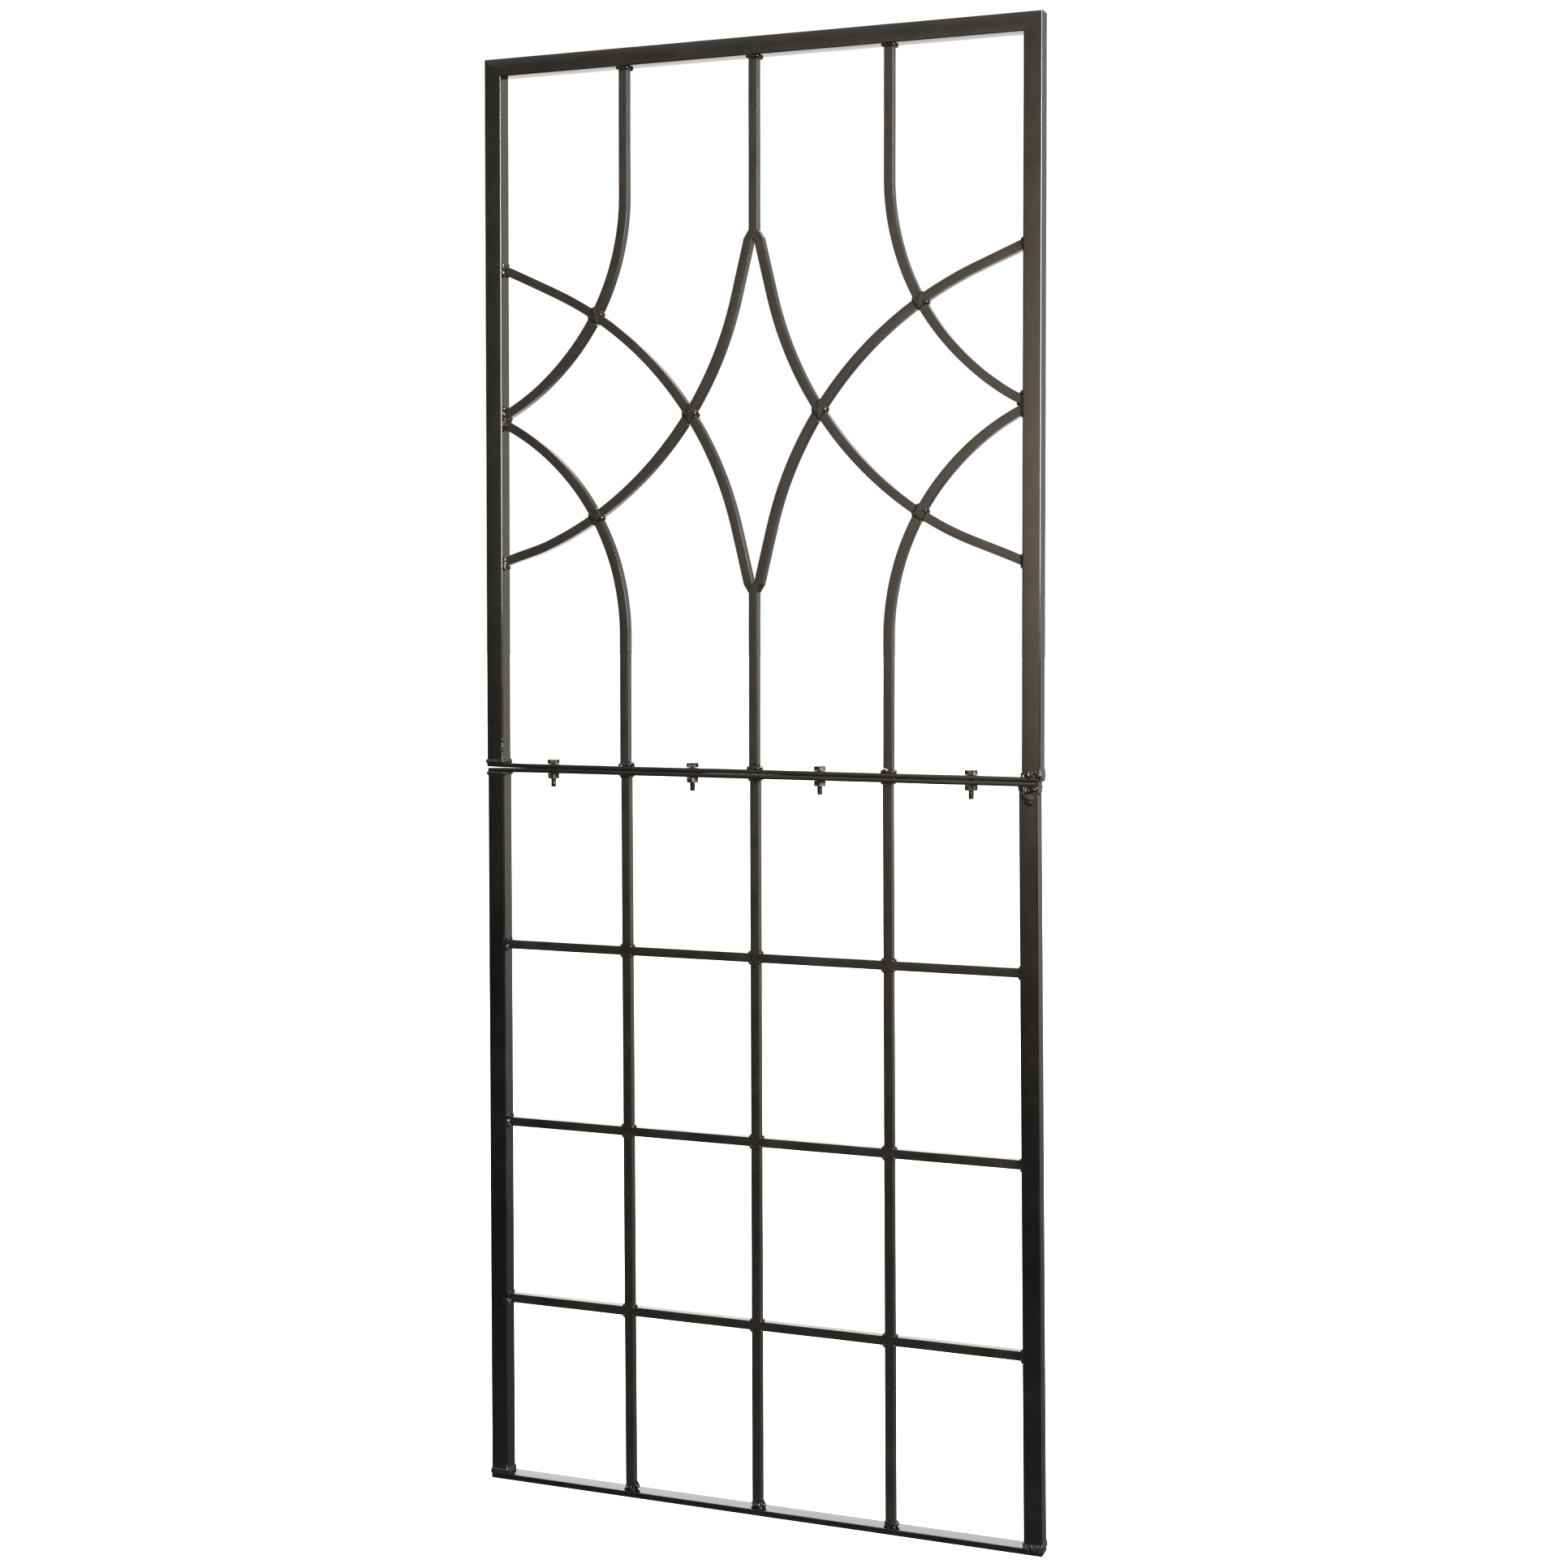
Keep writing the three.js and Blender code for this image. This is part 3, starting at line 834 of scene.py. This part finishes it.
def add_bar_feet():
    """The ends of the vertical bars at the top rail, at both meeting rails and at the bottom rail."""
    for index, (_, x) in enumerate(COLUMNS):
        place = ("left", "centre", "right")[index]
        foot_weld(f"weld_{place}_bar_top", 100 + index, x, TOP_UNDERSIDE, -1, 2.0).fuse()
        skirt = foot_weld(f"weld_{place}_bar_foot", 110 + index, x, UPPER_RAIL_TOP, 1, 1.8, front=1.15)
        for side in (-1, 1):
            skirt.drop((x + side * (BAR_HALF + 1.8 * MM), 0, UPPER_RAIL_TOP + 0.6 * MM), (2.0, 3.6, 1.0))
        add_chips(skirt, Vector((x, 0, UPPER_RAIL_TOP)), 1, 6, 3.2)
        skirt.fuse()
        under = foot_weld(f"weld_{place}_upright_top", 120 + index, x, LOWER_RAIL_BASE, -1, 1.3)
        add_chips(under, Vector((x, 0, LOWER_RAIL_BASE)), -1, 3, 2.2)
        under.fuse()
        lump = foot_weld(f"weld_{place}_upright_foot", 130 + index, x, BOTTOM_RAIL_TOP, 1, 0.9, front=1.3)
        lump.drop((x + BAR_HALF + 1.8 * MM, 0.5 * MM, BOTTOM_RAIL_TOP + 3.0 * MM), (2.2, 2.8, 2.2), (0, -24, 0))
        lump.drop((x + 1.4 * MM, -BAR_HALF - 0.3 * MM, BOTTOM_RAIL_TOP + 2.6 * MM), (2.9, 1.9, 2.5))
        lump.drop((x - 2.6 * MM, -BAR_HALF - 0.1 * MM, BOTTOM_RAIL_TOP + 1.4 * MM), (2.2, 1.5, 1.5))
        add_chips(lump, Vector((x, 0, BOTTOM_RAIL_TOP)), 1, 20, 6.2)
        lump.fuse()


def add_chips(weld, foot, up, count, reach):
    """Crusted lumps over the front and the right of a bar's end."""
    for index in range(count):
        shift = weld.chance.uniform(-0.9, 1.0) * BAR_HALF
        rise = Z_AXIS * up * weld.chance.uniform(0.4, reach) * MM
        proud = BAR_HALF + weld.chance.uniform(-0.2, 0.9) * MM
        if index % 3 == 2:
            place = foot + Vector((proud, shift, 0)) + rise
        else:
            place = foot + Vector((shift, -proud, 0)) + rise
        weld.chip(place, weld.chance.uniform(1.1, 1.7))


def core_of_crossing(weld, middle, first, second, blend):
    """Metal along both bars of a crossing, just inside them, for the webs to grow out of."""
    for heading in (first, second):
        reach = heading.normalized() * (BAR_HALF + 6 * MM)
        weld.block(middle - reach, middle + reach, BAR_HALF - CORE_INSET,
                   BAR_HALF - CORE_INSET - blend / 5 * MM, blend * MM)


def add_grid_welds():
    """Where the crossbars meet the uprights and the stiles."""
    for row_index, row in enumerate(ROWS):
        low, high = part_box(f"{row}_crossbar_1")
        height = (low.z + high.z) / 2
        for column_index, (_, x) in enumerate(COLUMNS):
            weld = Weld(f"weld_{row}_row_{column_index + 1}", 200 + 10 * row_index + column_index)
            middle = Vector((x, 0, height))
            core_of_crossing(weld, middle, X_AXIS, Z_AXIS, 2.0)
            for side in (-1, 1):
                for end in (-1, 1):
                    size = weld.chance.uniform(1.6, 2.1) if side < 0 else weld.chance.uniform(0.9, 1.3)
                    shift = BAR_HALF + (0.5 if side < 0 else 0.1) * MM
                    corner = middle + X_AXIS * side * shift + Z_AXIS * end * shift
                    depth = Y_AXIS * (BAR_HALF - 0.9 * size * MM)
                    weld.bead(corner - depth, corner + depth, size, jitter=0.1, blend=1.8 * MM)
                reach = Z_AXIS * (BAR_HALF - 1 * MM)
                back = Vector((x + side * BAR_HALF, BAR_HALF - 0.3 * MM, height))
                weld.bead(back - reach, back + reach, 1.7)
            lip = Vector((x + BAR_HALF + 1.2 * MM, 0.4 * MM, height + BAR_HALF + 1.1 * MM))
            weld.drop(lip, (2.3, 3.0, 0.75), (0, weld.chance.uniform(-25, 5), 0))
            weld.bead(lip + Vector((-2.2, -3.0, 1.0)) * MM, lip + Vector((-1.8, 2.0, 1.2)) * MM, 1.3)
            weld.fuse()
        for side, side_name in SIDES:
            weld = Weld(f"weld_{row}_row_{side_name}_stile", 250 + 10 * row_index + side)
            x = side * (STILE_FACE - 0.2 * MM)
            reach = Z_AXIS * (BAR_HALF - 0.4 * MM)
            for depth, size in ((-BAR_HALF - 0.5 * MM, 2.5), (BAR_HALF + 0.3 * MM, 2.0)):
                seam = Vector((x, depth, height))
                weld.bead(seam - reach * 1.1, seam + reach * 1.1, size)
            for end in (-1, 1):
                edge = Vector((x, 0, height + end * (BAR_HALF + 0.1 * MM)))
                depth = Y_AXIS * (BAR_HALF - 0.5 * MM)
                weld.bead(edge - depth, edge + depth, 1.15)
            if side < 0:
                face_lumps(weld, Vector((x, 0, height)), 5.5)
            weld.fuse()


def face_lumps(weld, middle, reach):
    """Glossy lumps on the face of the left stile, in front of the bar that ends there."""
    for _ in range(9):
        place = middle + Vector((weld.chance.uniform(-0.3, 0.9), 0, weld.chance.uniform(-reach, reach))) * MM
        place.y = -BAR_HALF - weld.chance.uniform(0.2, 2.8) * MM
        weld.chip(place, weld.chance.uniform(1.3, 2.3))


def web(weld, place, first, second, size):
    """Fills the corner between two headings out of a crossing."""
    corner = (first.normalized() + second.normalized()).normalized()
    opening = first.angle(second)
    reach = BAR_HALF / max(0.2, math.sin(opening / 2))
    middle = place + corner * (reach + 0.1 * size * MM)
    run = Y_AXIS * (BAR_HALF - 1.15 * size * MM)
    weld.bead(middle - run, middle + run, size, jitter=0.1, blend=2 * MM)


def add_pattern_crossings():
    for side, side_name in SIDES:
        rising, falling, top_bar, low_bar = pattern_routes(side)
        pairs = (("middle", falling, rising), ("upper", top_bar, rising), ("lower", low_bar, falling))
        for index, (where, bar, through) in enumerate(pairs):
            place, heading, other = crossing(bar, through)
            weld = Weld(f"weld_{side_name}_{where}_crossing", 300 + 10 * index + side)
            core_of_crossing(weld, place, heading, other, 2.5)
            for first in (heading, -heading):
                for second in (other, -other):
                    web(weld, place, first, second, weld.chance.uniform(1.9, 2.5))
            across = Y_AXIS.cross(other)
            for end in (-1, 1):
                seam = place + across * end * BAR_HALF + Y_AXIS * (BAR_HALF - 0.3 * MM)
                weld.bead(seam - other * 5 * MM, seam + other * 5 * MM, 1.8)
            lump = place + Vector((BAR_HALF + 2.6 * MM, 0.5 * MM, 1.2 * MM))
            weld.drop(lump, (2.2, 2.6, 1.2), (0, 30, 0))
            weld.drop(place - Y_AXIS * (BAR_HALF - 0.4 * MM), (6.2, 0.75, 6.2), blend=1.2 * MM)
            weld.fuse()


def add_apex_welds():
    """Where the centre bar meets the two arcs: a flat-fronted gusset with sloping shoulders."""
    outer = APEX_OFFSET + BAR_HALF / math.cos(LONG_ARC_LEAN)
    slope = Vector((GUSSET_HEIGHT, 0, outer - BAR_HALF)).normalized()
    for half, name in ((1, "top"), (-1, "low")):
        weld = Weld(f"weld_{name}_apex", 340 + half)
        apex = Vector((0, 0, PATTERN_MIDDLE + half * APEX_HEIGHT))
        depth = BAR_HALF - 0.05 * MM
        faces = [(Y_AXIS, depth), (-Y_AXIS, depth), (Z_AXIS * half, GUSSET_HEIGHT),
                 (Z_AXIS * -half, NOTCH_DEPTH)]
        for side in (-1, 1):
            shoulder = Vector((side * slope.x, 0, half * slope.z))
            faces.append((shoulder, outer * slope.x))
            flank = Vector((side * math.cos(LONG_ARC_LEAN), 0, half * math.sin(LONG_ARC_LEAN)))
            faces.append((flank, outer * flank.x * side))
        weld.drops.append((apex, outer + GUSSET_HEIGHT, hewn(faces, WELD_EDGE), 0.5 * MM))
        for side in (-1, 1):
            lead = Vector((side * math.sin(LONG_ARC_LEAN), 0, -half * math.cos(LONG_ARC_LEAN)))
            start = apex + X_AXIS * side * APEX_OFFSET
            inset = BAR_HALF - CORE_INSET
            weld.block(start + lead * 1.5 * MM, start + lead * 12 * MM, inset, inset - 0.3 * MM, 1.2 * MM)
        weld.fuse()


def add_pattern_stile_welds():
    """Where the arcs and the side bars meet the stiles."""
    for side, side_name in SIDES:
        rising, falling, _, _ = pattern_routes(side)
        stile = [Vector((side * STILE_FACE, 0, 0)), Vector((side * STILE_FACE, 0, PANEL_HEIGHT))]
        for name, route in (("rising", rising), ("falling", falling)):
            place, heading, _ = crossing(route, stile)
            slant = BAR_HALF / abs(heading.x)
            weld = Weld(f"weld_{side_name}_{name}_end", 360 + side + len(name))
            x = side * (STILE_FACE - 0.2 * MM)
            for depth, size in ((-BAR_HALF - 0.4 * MM, 2.3), (BAR_HALF + 0.3 * MM, 2.0)):
                weld.bead((x, depth, place.z - slant), (x, depth, place.z + slant), size)
            for end in (-1, 1):
                run = BAR_HALF - 0.8 * MM
                z = place.z + end * slant
                weld.bead((x, -run, z), (x, run, z), 1.3)
            if side < 0:
                face_lumps(weld, Vector((x, 0, place.z)), 6.0)
            weld.fuse()
        weld = Weld(f"weld_{side_name}_side_bars", 380 + side)
        x = side * (STILE_FACE - 0.2 * MM)
        reach = 10.5 * MM
        for depth, size in ((-BAR_HALF - 0.4 * MM, 2.6), (BAR_HALF + 0.3 * MM, 2.2)):
            weld.bead((x, depth, PATTERN_MIDDLE - reach), (x, depth, PATTERN_MIDDLE + reach), size)
        notch = x - side * 5.0 * MM
        run = BAR_HALF - 1 * MM
        weld.bead((notch, -run, PATTERN_MIDDLE), (notch, run, PATTERN_MIDDLE), 2.0)
        if side < 0:
            face_lumps(weld, Vector((x, 0, PATTERN_MIDDLE)), 9.0)
            for _ in range(9):
                place = Vector((x + weld.chance.uniform(0.5, 4.0) * MM,
                                -BAR_HALF + weld.chance.uniform(-0.8, 1.2) * MM,
                                PATTERN_MIDDLE + weld.chance.uniform(-5.0, 5.0) * MM))
                weld.chip(place, weld.chance.uniform(1.3, 2.2))
        weld.fuse()


def stile_weld(name, seed, side, height, up, rise, radius, proud):
    """Round the end of a stile on a flat bar, flaring out of the stile."""
    weld = Weld(name, seed)
    x = side * STILE_MIDDLE
    middle = Vector((x, 0, height))
    inset = TUBE_HALF - CORE_INSET
    weld.block(middle + Z_AXIS * up * 0.3 * MM, middle + Z_AXIS * up * 12 * MM, inset, inset, 0.5 * MM)
    wide = TUBE_HALF + proud * MM
    weld.block(middle, middle + Z_AXIS * up * rise * MM, wide, wide, 3 * MM)
    z = height + up * 0.5 * radius * MM
    reach = wide - radius * MM
    corners = [(-reach, -reach), (reach, -reach), (reach, reach), (-reach, reach)]
    for a, b in zip(corners, corners[1:] + corners[:1]):
        weld.bead((x + a[0], a[1], z), (x + b[0], b[1], z), radius * 1.1, jitter=0.12, blend=1.5 * MM)
    return weld


def add_left_stile_bead(weld, height, up, reach):
    """A glossy run of metal up the front of the inner edge of the left stile."""
    place = Vector((-STILE_FACE - 1.2 * MM, -TUBE_HALF + 0.2 * MM, height + up * 2 * MM))
    weld.bead(place, place + Z_AXIS * up * reach, 1.2, jitter=0.3)


def add_right_front_bead(weld, height, up):
    """A rough bead across the front of the right stile, built up in facets."""
    for _ in range(30):
        place = Vector((STILE_MIDDLE + weld.chance.uniform(-0.8, 0.76) * TUBE_HALF,
                        -TUBE_HALF - weld.chance.uniform(-0.6, 0.8) * MM,
                        height + up * weld.chance.uniform(0.6, 4.4) * MM))
        weld.chip(place, weld.chance.uniform(1.1, 2.0))


def add_right_patch(weld):
    """Metal smeared over the right ends of the meeting rails, swelling out of the stiles."""
    x = PANEL_HALF - 1.4 * MM
    weld.block((x, 0, LOWER_RAIL_BASE - 6 * MM), (x, 0, UPPER_RAIL_TOP + 7 * MM),
               2.0 * MM, TUBE_HALF - 0.4 * MM, 1.5 * MM)
    weld.drop((x, 0, JOINT_HEIGHT), (3.1, 8.6, 17), blend=1.5 * MM)


def add_right_smear(weld):
    """A thin glossy smear down the front of the lower right stile, under its bead."""
    for shift, drop, radii in ((-1.5, 9, (5.0, 0.5, 6.5)), (2.0, 15, (4.0, 0.4, 5.0))):
        place = Vector((STILE_MIDDLE + shift * MM, -TUBE_HALF, LOWER_RAIL_BASE - drop * MM))
        weld.drop(place, radii, (0, shift * 9, 0))


def add_stile_welds():
    for side, side_name in SIDES:
        radius, proud = (1.8, 0.6) if side < 0 else (1.2, 0.0)
        upper = stile_weld(f"weld_upper_{side_name}_stile", 400 + side, side, UPPER_RAIL_TOP, 1, 2.2, radius, proud)
        lower = stile_weld(f"weld_lower_{side_name}_stile", 410 + side, side, LOWER_RAIL_BASE, -1, 2.0, radius, proud)
        foot = stile_weld(f"weld_{side_name}_stile_foot", 420 + side, side, BOTTOM_RAIL_TOP, 1, 3.6, 0.7, 0.1)
        if side < 0:
            add_left_stile_bead(upper, UPPER_RAIL_TOP, 1, 24 * MM)
            add_left_stile_bead(foot, BOTTOM_RAIL_TOP, 1, 6 * MM)
        else:
            add_right_front_bead(upper, UPPER_RAIL_TOP, 1)
            add_right_patch(upper)
            add_right_front_bead(lower, LOWER_RAIL_BASE, -1)
            add_right_smear(lower)
            add_right_front_bead(foot, BOTTOM_RAIL_TOP, 1)
        for weld in (upper, lower, foot):
            weld.fuse()


def add_welds():
    add_bar_feet()
    add_grid_welds()
    add_pattern_crossings()
    add_apex_welds()
    add_pattern_stile_welds()
    add_stile_welds()


# ---- Bolts and nuts -------------------------------------------------------------------


def hex_radius(angle):
    """The distance from the middle of a hexagon to its side, its corners slightly eased."""
    folded = (angle + math.pi / 6) % (math.pi / 3) - math.pi / 6
    plain = HEX_FLAT_RADIUS / math.cos(math.pi / 6 - abs(folded))
    return min(plain, HEX_FLAT_RADIUS / math.cos(math.pi / 6) - HEX_CORNER_EASE)


def turned_skin(shape, rings, steps):
    """Joins rings of (radius of angle, height of angle) into a closed skin about the Z axis."""
    made = []
    for radius, height in rings:
        ring = []
        for step in range(steps):
            angle = 2 * math.pi * step / steps
            reach = radius(angle)
            ring.append(shape.verts.new((reach * math.cos(angle), reach * math.sin(angle), height(angle))))
        made.append(ring)
    for ring, following in zip(made, made[1:]):
        for step in range(steps):
            after = (step + 1) % steps
            shape.faces.new((ring[step], ring[after], following[after], following[step]))
    shape.faces.new(made[0])
    shape.faces.new(made[-1])


def hex_block(height, turn, eased_low, eased_high):
    """A hexagon block standing on the origin, its ends chamfered where they are free."""
    shape = bmesh.new()
    slope = math.tan(math.radians(28))
    start = 0.93 * HEX_FLAT_RADIUS

    def drop_at(angle):
        return (hex_radius(angle) - start) * slope

    def level(value):
        return lambda _angle: value

    rings = []
    if eased_low:
        rings.append((level(start), level(0.0)))
        rings.append((hex_radius, drop_at))
    else:
        rings.append((lambda angle: hex_radius(angle) - 0.15 * MM, level(0.0)))
        rings.append((hex_radius, level(0.15 * MM)))
    if eased_high:
        rings.append((hex_radius, lambda angle: height - drop_at(angle)))
        rings.append((level(start), level(height)))
        rings.append((level(0.8 * HEX_FLAT_RADIUS), level(height - 0.12 * MM)))
    else:
        rings.append((hex_radius, level(height)))
    turned_skin(shape, rings, 96)
    bmesh.ops.rotate(shape, verts=shape.verts[:], matrix=Matrix.Rotation(math.radians(turn + 30), 3, "Z"))
    return shape


def threaded_shank(base, top):
    """A rod with a helical thread, its end chamfered."""
    shape = bmesh.new()
    steps = 36
    rise = THREAD_PITCH / 10
    count = int((top - base) / rise)

    def radius_at(height):
        def radius(angle):
            phase = (height / THREAD_PITCH - angle / (2 * math.pi)) % 1
            crest = abs(2 * phase - 1)
            full = THREAD_RADIUS - THREAD_DEPTH * min(1, max(0, 1.25 * crest - 0.15))
            chamfer = THREAD_RADIUS - THREAD_DEPTH * 1.2 + (height - base)
            return min(full, chamfer)
        return radius

    def level(value):
        return lambda _angle: value

    rings = [(radius_at(base + step * rise), level(base + step * rise)) for step in range(count + 1)]
    turned_skin(shape, rings, steps)
    return shape


def add_joined(name, shapes, place, nodes):
    """Several closed skins as one piece of plated hardware."""
    joined = bmesh.new()
    for shape in shapes:
        mesh = mesh_of(name, shape)
        joined.from_mesh(mesh)
        bpy.data.meshes.remove(mesh)
    bmesh.ops.translate(joined, verts=joined.verts[:], vec=place)
    mesh = bpy.data.meshes.new(name)
    joined.to_mesh(mesh)
    joined.free()
    add_piece(name, mesh, ZINC, nodes, crease=25)


def add_bolts():
    for index, x in enumerate(BOLT_PLACES):
        low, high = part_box(f"bolt_{index + 1}")
        nut_low, nut_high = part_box(f"nut_{index + 1}")
        seat = UPPER_RAIL_TOP
        head = hex_block(high.z - seat, HEAD_TURNS[index], False, True)
        bmesh.ops.translate(head, verts=head.verts[:], vec=Z_AXIS * seat)
        shank = threaded_shank(low.z, seat + 1 * MM)
        add_joined(f"bolt_{index + 1}_plated", [head, shank], Vector((x, 0, 0)), (f"bolt_{index + 1}",))
        nut = hex_block(nut_high.z - nut_low.z, NUT_TURNS[index], True, True)
        place = Vector((x, 0, nut_low.z))
        add_joined(f"nut_{index + 1}_plated", [nut], place, (f"nut_{index + 1}",))


# ---- Stage ----------------------------------------------------------------------------


def add_floor():
    shape = bmesh.new()
    bmesh.ops.create_grid(shape, x_segments=8, y_segments=8, size=30)
    mesh = mesh_of("floor", shape)
    mesh.materials.append(floor_paint())
    floor = bpy.data.objects.new("floor", mesh)
    bpy.context.scene.collection.objects.link(floor)
    floor.visible_glossy = False
    floor.visible_diffuse = False


def world_share(tree, value, low, high):
    """0 to 1 as a value goes from low to high."""
    node = tree.nodes.new("ShaderNodeMapRange")
    node.interpolation_type = "SMOOTHSTEP"
    node.inputs["From Min"].default_value = low
    node.inputs["From Max"].default_value = high
    tree.links.new(value, node.inputs["Value"])
    return node.outputs["Result"]


def world_mix(tree, share, first, second):
    """A mix of two colours, each a colour or the output of a node."""
    node = tree.nodes.new("ShaderNodeMix")
    node.data_type = "RGBA"
    tree.links.new(share, node.inputs[0])
    for socket, value in ((node.inputs[6], first), (node.inputs[7], second)):
        if isinstance(value, tuple):
            socket.default_value = (*value, 1)
        else:
            tree.links.new(value, socket)
    return node.outputs[2]


def world_math(tree, operation, *values):
    """A sum on numbers, each a number or the output of a node."""
    node = tree.nodes.new("ShaderNodeMath")
    node.operation = operation
    for socket, value in zip(node.inputs, values):
        if isinstance(value, (int, float)):
            socket.default_value = value
        else:
            tree.links.new(value, socket)
    return node.outputs[0]


def glow_share(tree, x, z, middle, spread_out):
    """1 at the middle of an oval glow, fading softly with the distance from it."""
    total = None
    for value, centre, width in ((x, middle[0], spread_out[0]), (z, middle[1], spread_out[1])):
        away = world_math(tree, "DIVIDE", world_math(tree, "SUBTRACT", value, centre), width)
        square = world_math(tree, "MULTIPLY", away, away)
        total = square if total is None else world_math(tree, "ADD", total, square)
    return world_math(tree, "EXPONENT", world_math(tree, "MULTIPLY", total, -0.5))


def add_world():
    """A studio that is white to look at, bright behind the panel and dim in front of it."""
    world = bpy.data.worlds.new("studio")
    bpy.context.scene.world = world
    world.use_nodes = True
    tree = world.node_tree
    background = tree.nodes["Background"]
    direction = tree.nodes.new("ShaderNodeTexCoord").outputs["Generated"]
    parts = tree.nodes.new("ShaderNodeSeparateXYZ")
    tree.links.new(direction, parts.inputs["Vector"])
    x, y, z = parts.outputs["X"], parts.outputs["Y"], parts.outputs["Z"]
    right_wall = world_mix(tree, world_share(tree, x, 0.18, 0.45), (0.42, 0.40, 0.37), (1.10, 1.04, 0.97))
    right_end = world_mix(tree, world_share(tree, x, 0.52, 0.70), right_wall, (0.06, 0.06, 0.06))
    right_behind = world_mix(tree, world_share(tree, z, -0.30, -0.06), (0.18, 0.175, 0.17), right_end)
    left_behind = world_mix(tree, world_share(tree, z, -0.10, 0.30), (2.0, 1.88, 1.83), (3.5, 3.40, 3.25))
    backdrop = world_mix(tree, world_share(tree, x, -0.22, 0.12), left_behind, right_behind)
    behind = world_mix(tree, world_share(tree, x, -0.66, -0.84), backdrop, (0.45, 0.43, 0.40))
    front_wall = world_mix(tree, world_share(tree, z, -0.12, 0.13), (0.035, 0.035, 0.036), (0.30, 0.24, 0.18))
    front_low = world_mix(tree, world_share(tree, z, -0.26, -0.38), front_wall, (0.20, 0.20, 0.20))
    front_high = world_mix(tree, world_share(tree, z, 0.20, 0.34), front_low, (1.5, 1.4, 1.3))
    glow = glow_share(tree, x, z, (-0.087, 0.045), (0.165, 0.095))
    lit = world_mix(tree, glow, front_high, (4.5, 3.70, 2.75))
    front = world_mix(tree, world_share(tree, x, -0.55, -0.78), lit, (0.45, 0.43, 0.40))
    round_about = world_mix(tree, world_share(tree, y, -0.10, 0.30), front, behind)
    above = world_mix(tree, world_share(tree, z, 0.55, 0.85), round_about, (0.7, 0.69, 0.67))
    path = tree.nodes.new("ShaderNodeLightPath")
    seen = world_mix(tree, path.outputs["Is Camera Ray"], above, (1.0, 1.0, 1.0))
    tree.links.new(seen, background.inputs["Color"])
    background.inputs["Strength"].default_value = 1.0


def add_softbox(name, place, target, size, power, colour=(1, 1, 1)):
    light = bpy.data.lights.new(name, "AREA")
    light.shape = "RECTANGLE"
    light.size, light.size_y = size
    light.energy = power
    light.color = colour
    lamp = bpy.data.objects.new(name, light)
    bpy.context.scene.collection.objects.link(lamp)
    lamp.location = place
    lamp.rotation_euler = (Vector(target) - Vector(place)).to_track_quat("-Z", "Y").to_euler()


def add_lights():
    add_softbox("right_softbox", (2.6, -1.7, 1.575), (0, -1.7, 1.575), (2.4, 1.25), 450, (1.0, 0.98, 0.95))


def add_camera():
    camera = bpy.data.objects.new("camera", bpy.data.cameras.new("camera"))
    bpy.context.scene.collection.objects.link(camera)
    turn = Matrix.Rotation(CAMERA_TURN, 4, "Z")
    tilt = Matrix.Rotation(math.pi / 2 + CAMERA_TILT, 4, "X")
    roll = Matrix.Rotation(CAMERA_ROLL, 4, "Z")
    camera.matrix_world = Matrix.Translation(CAMERA_PLACE) @ turn @ tilt @ roll
    camera.data.sensor_width = 36
    camera.data.lens = CAMERA_LENS
    camera.data.shift_y = CAMERA_SHIFT
    bpy.context.scene.camera = camera


add_camera()
add_floor()
add_world()
add_lights()
bpy.context.scene.view_settings.view_transform = "Standard"
add_stiles()
add_top_rail()
add_flat_bars()
add_pattern()
add_straight_bars()
add_welds()
add_bolts()
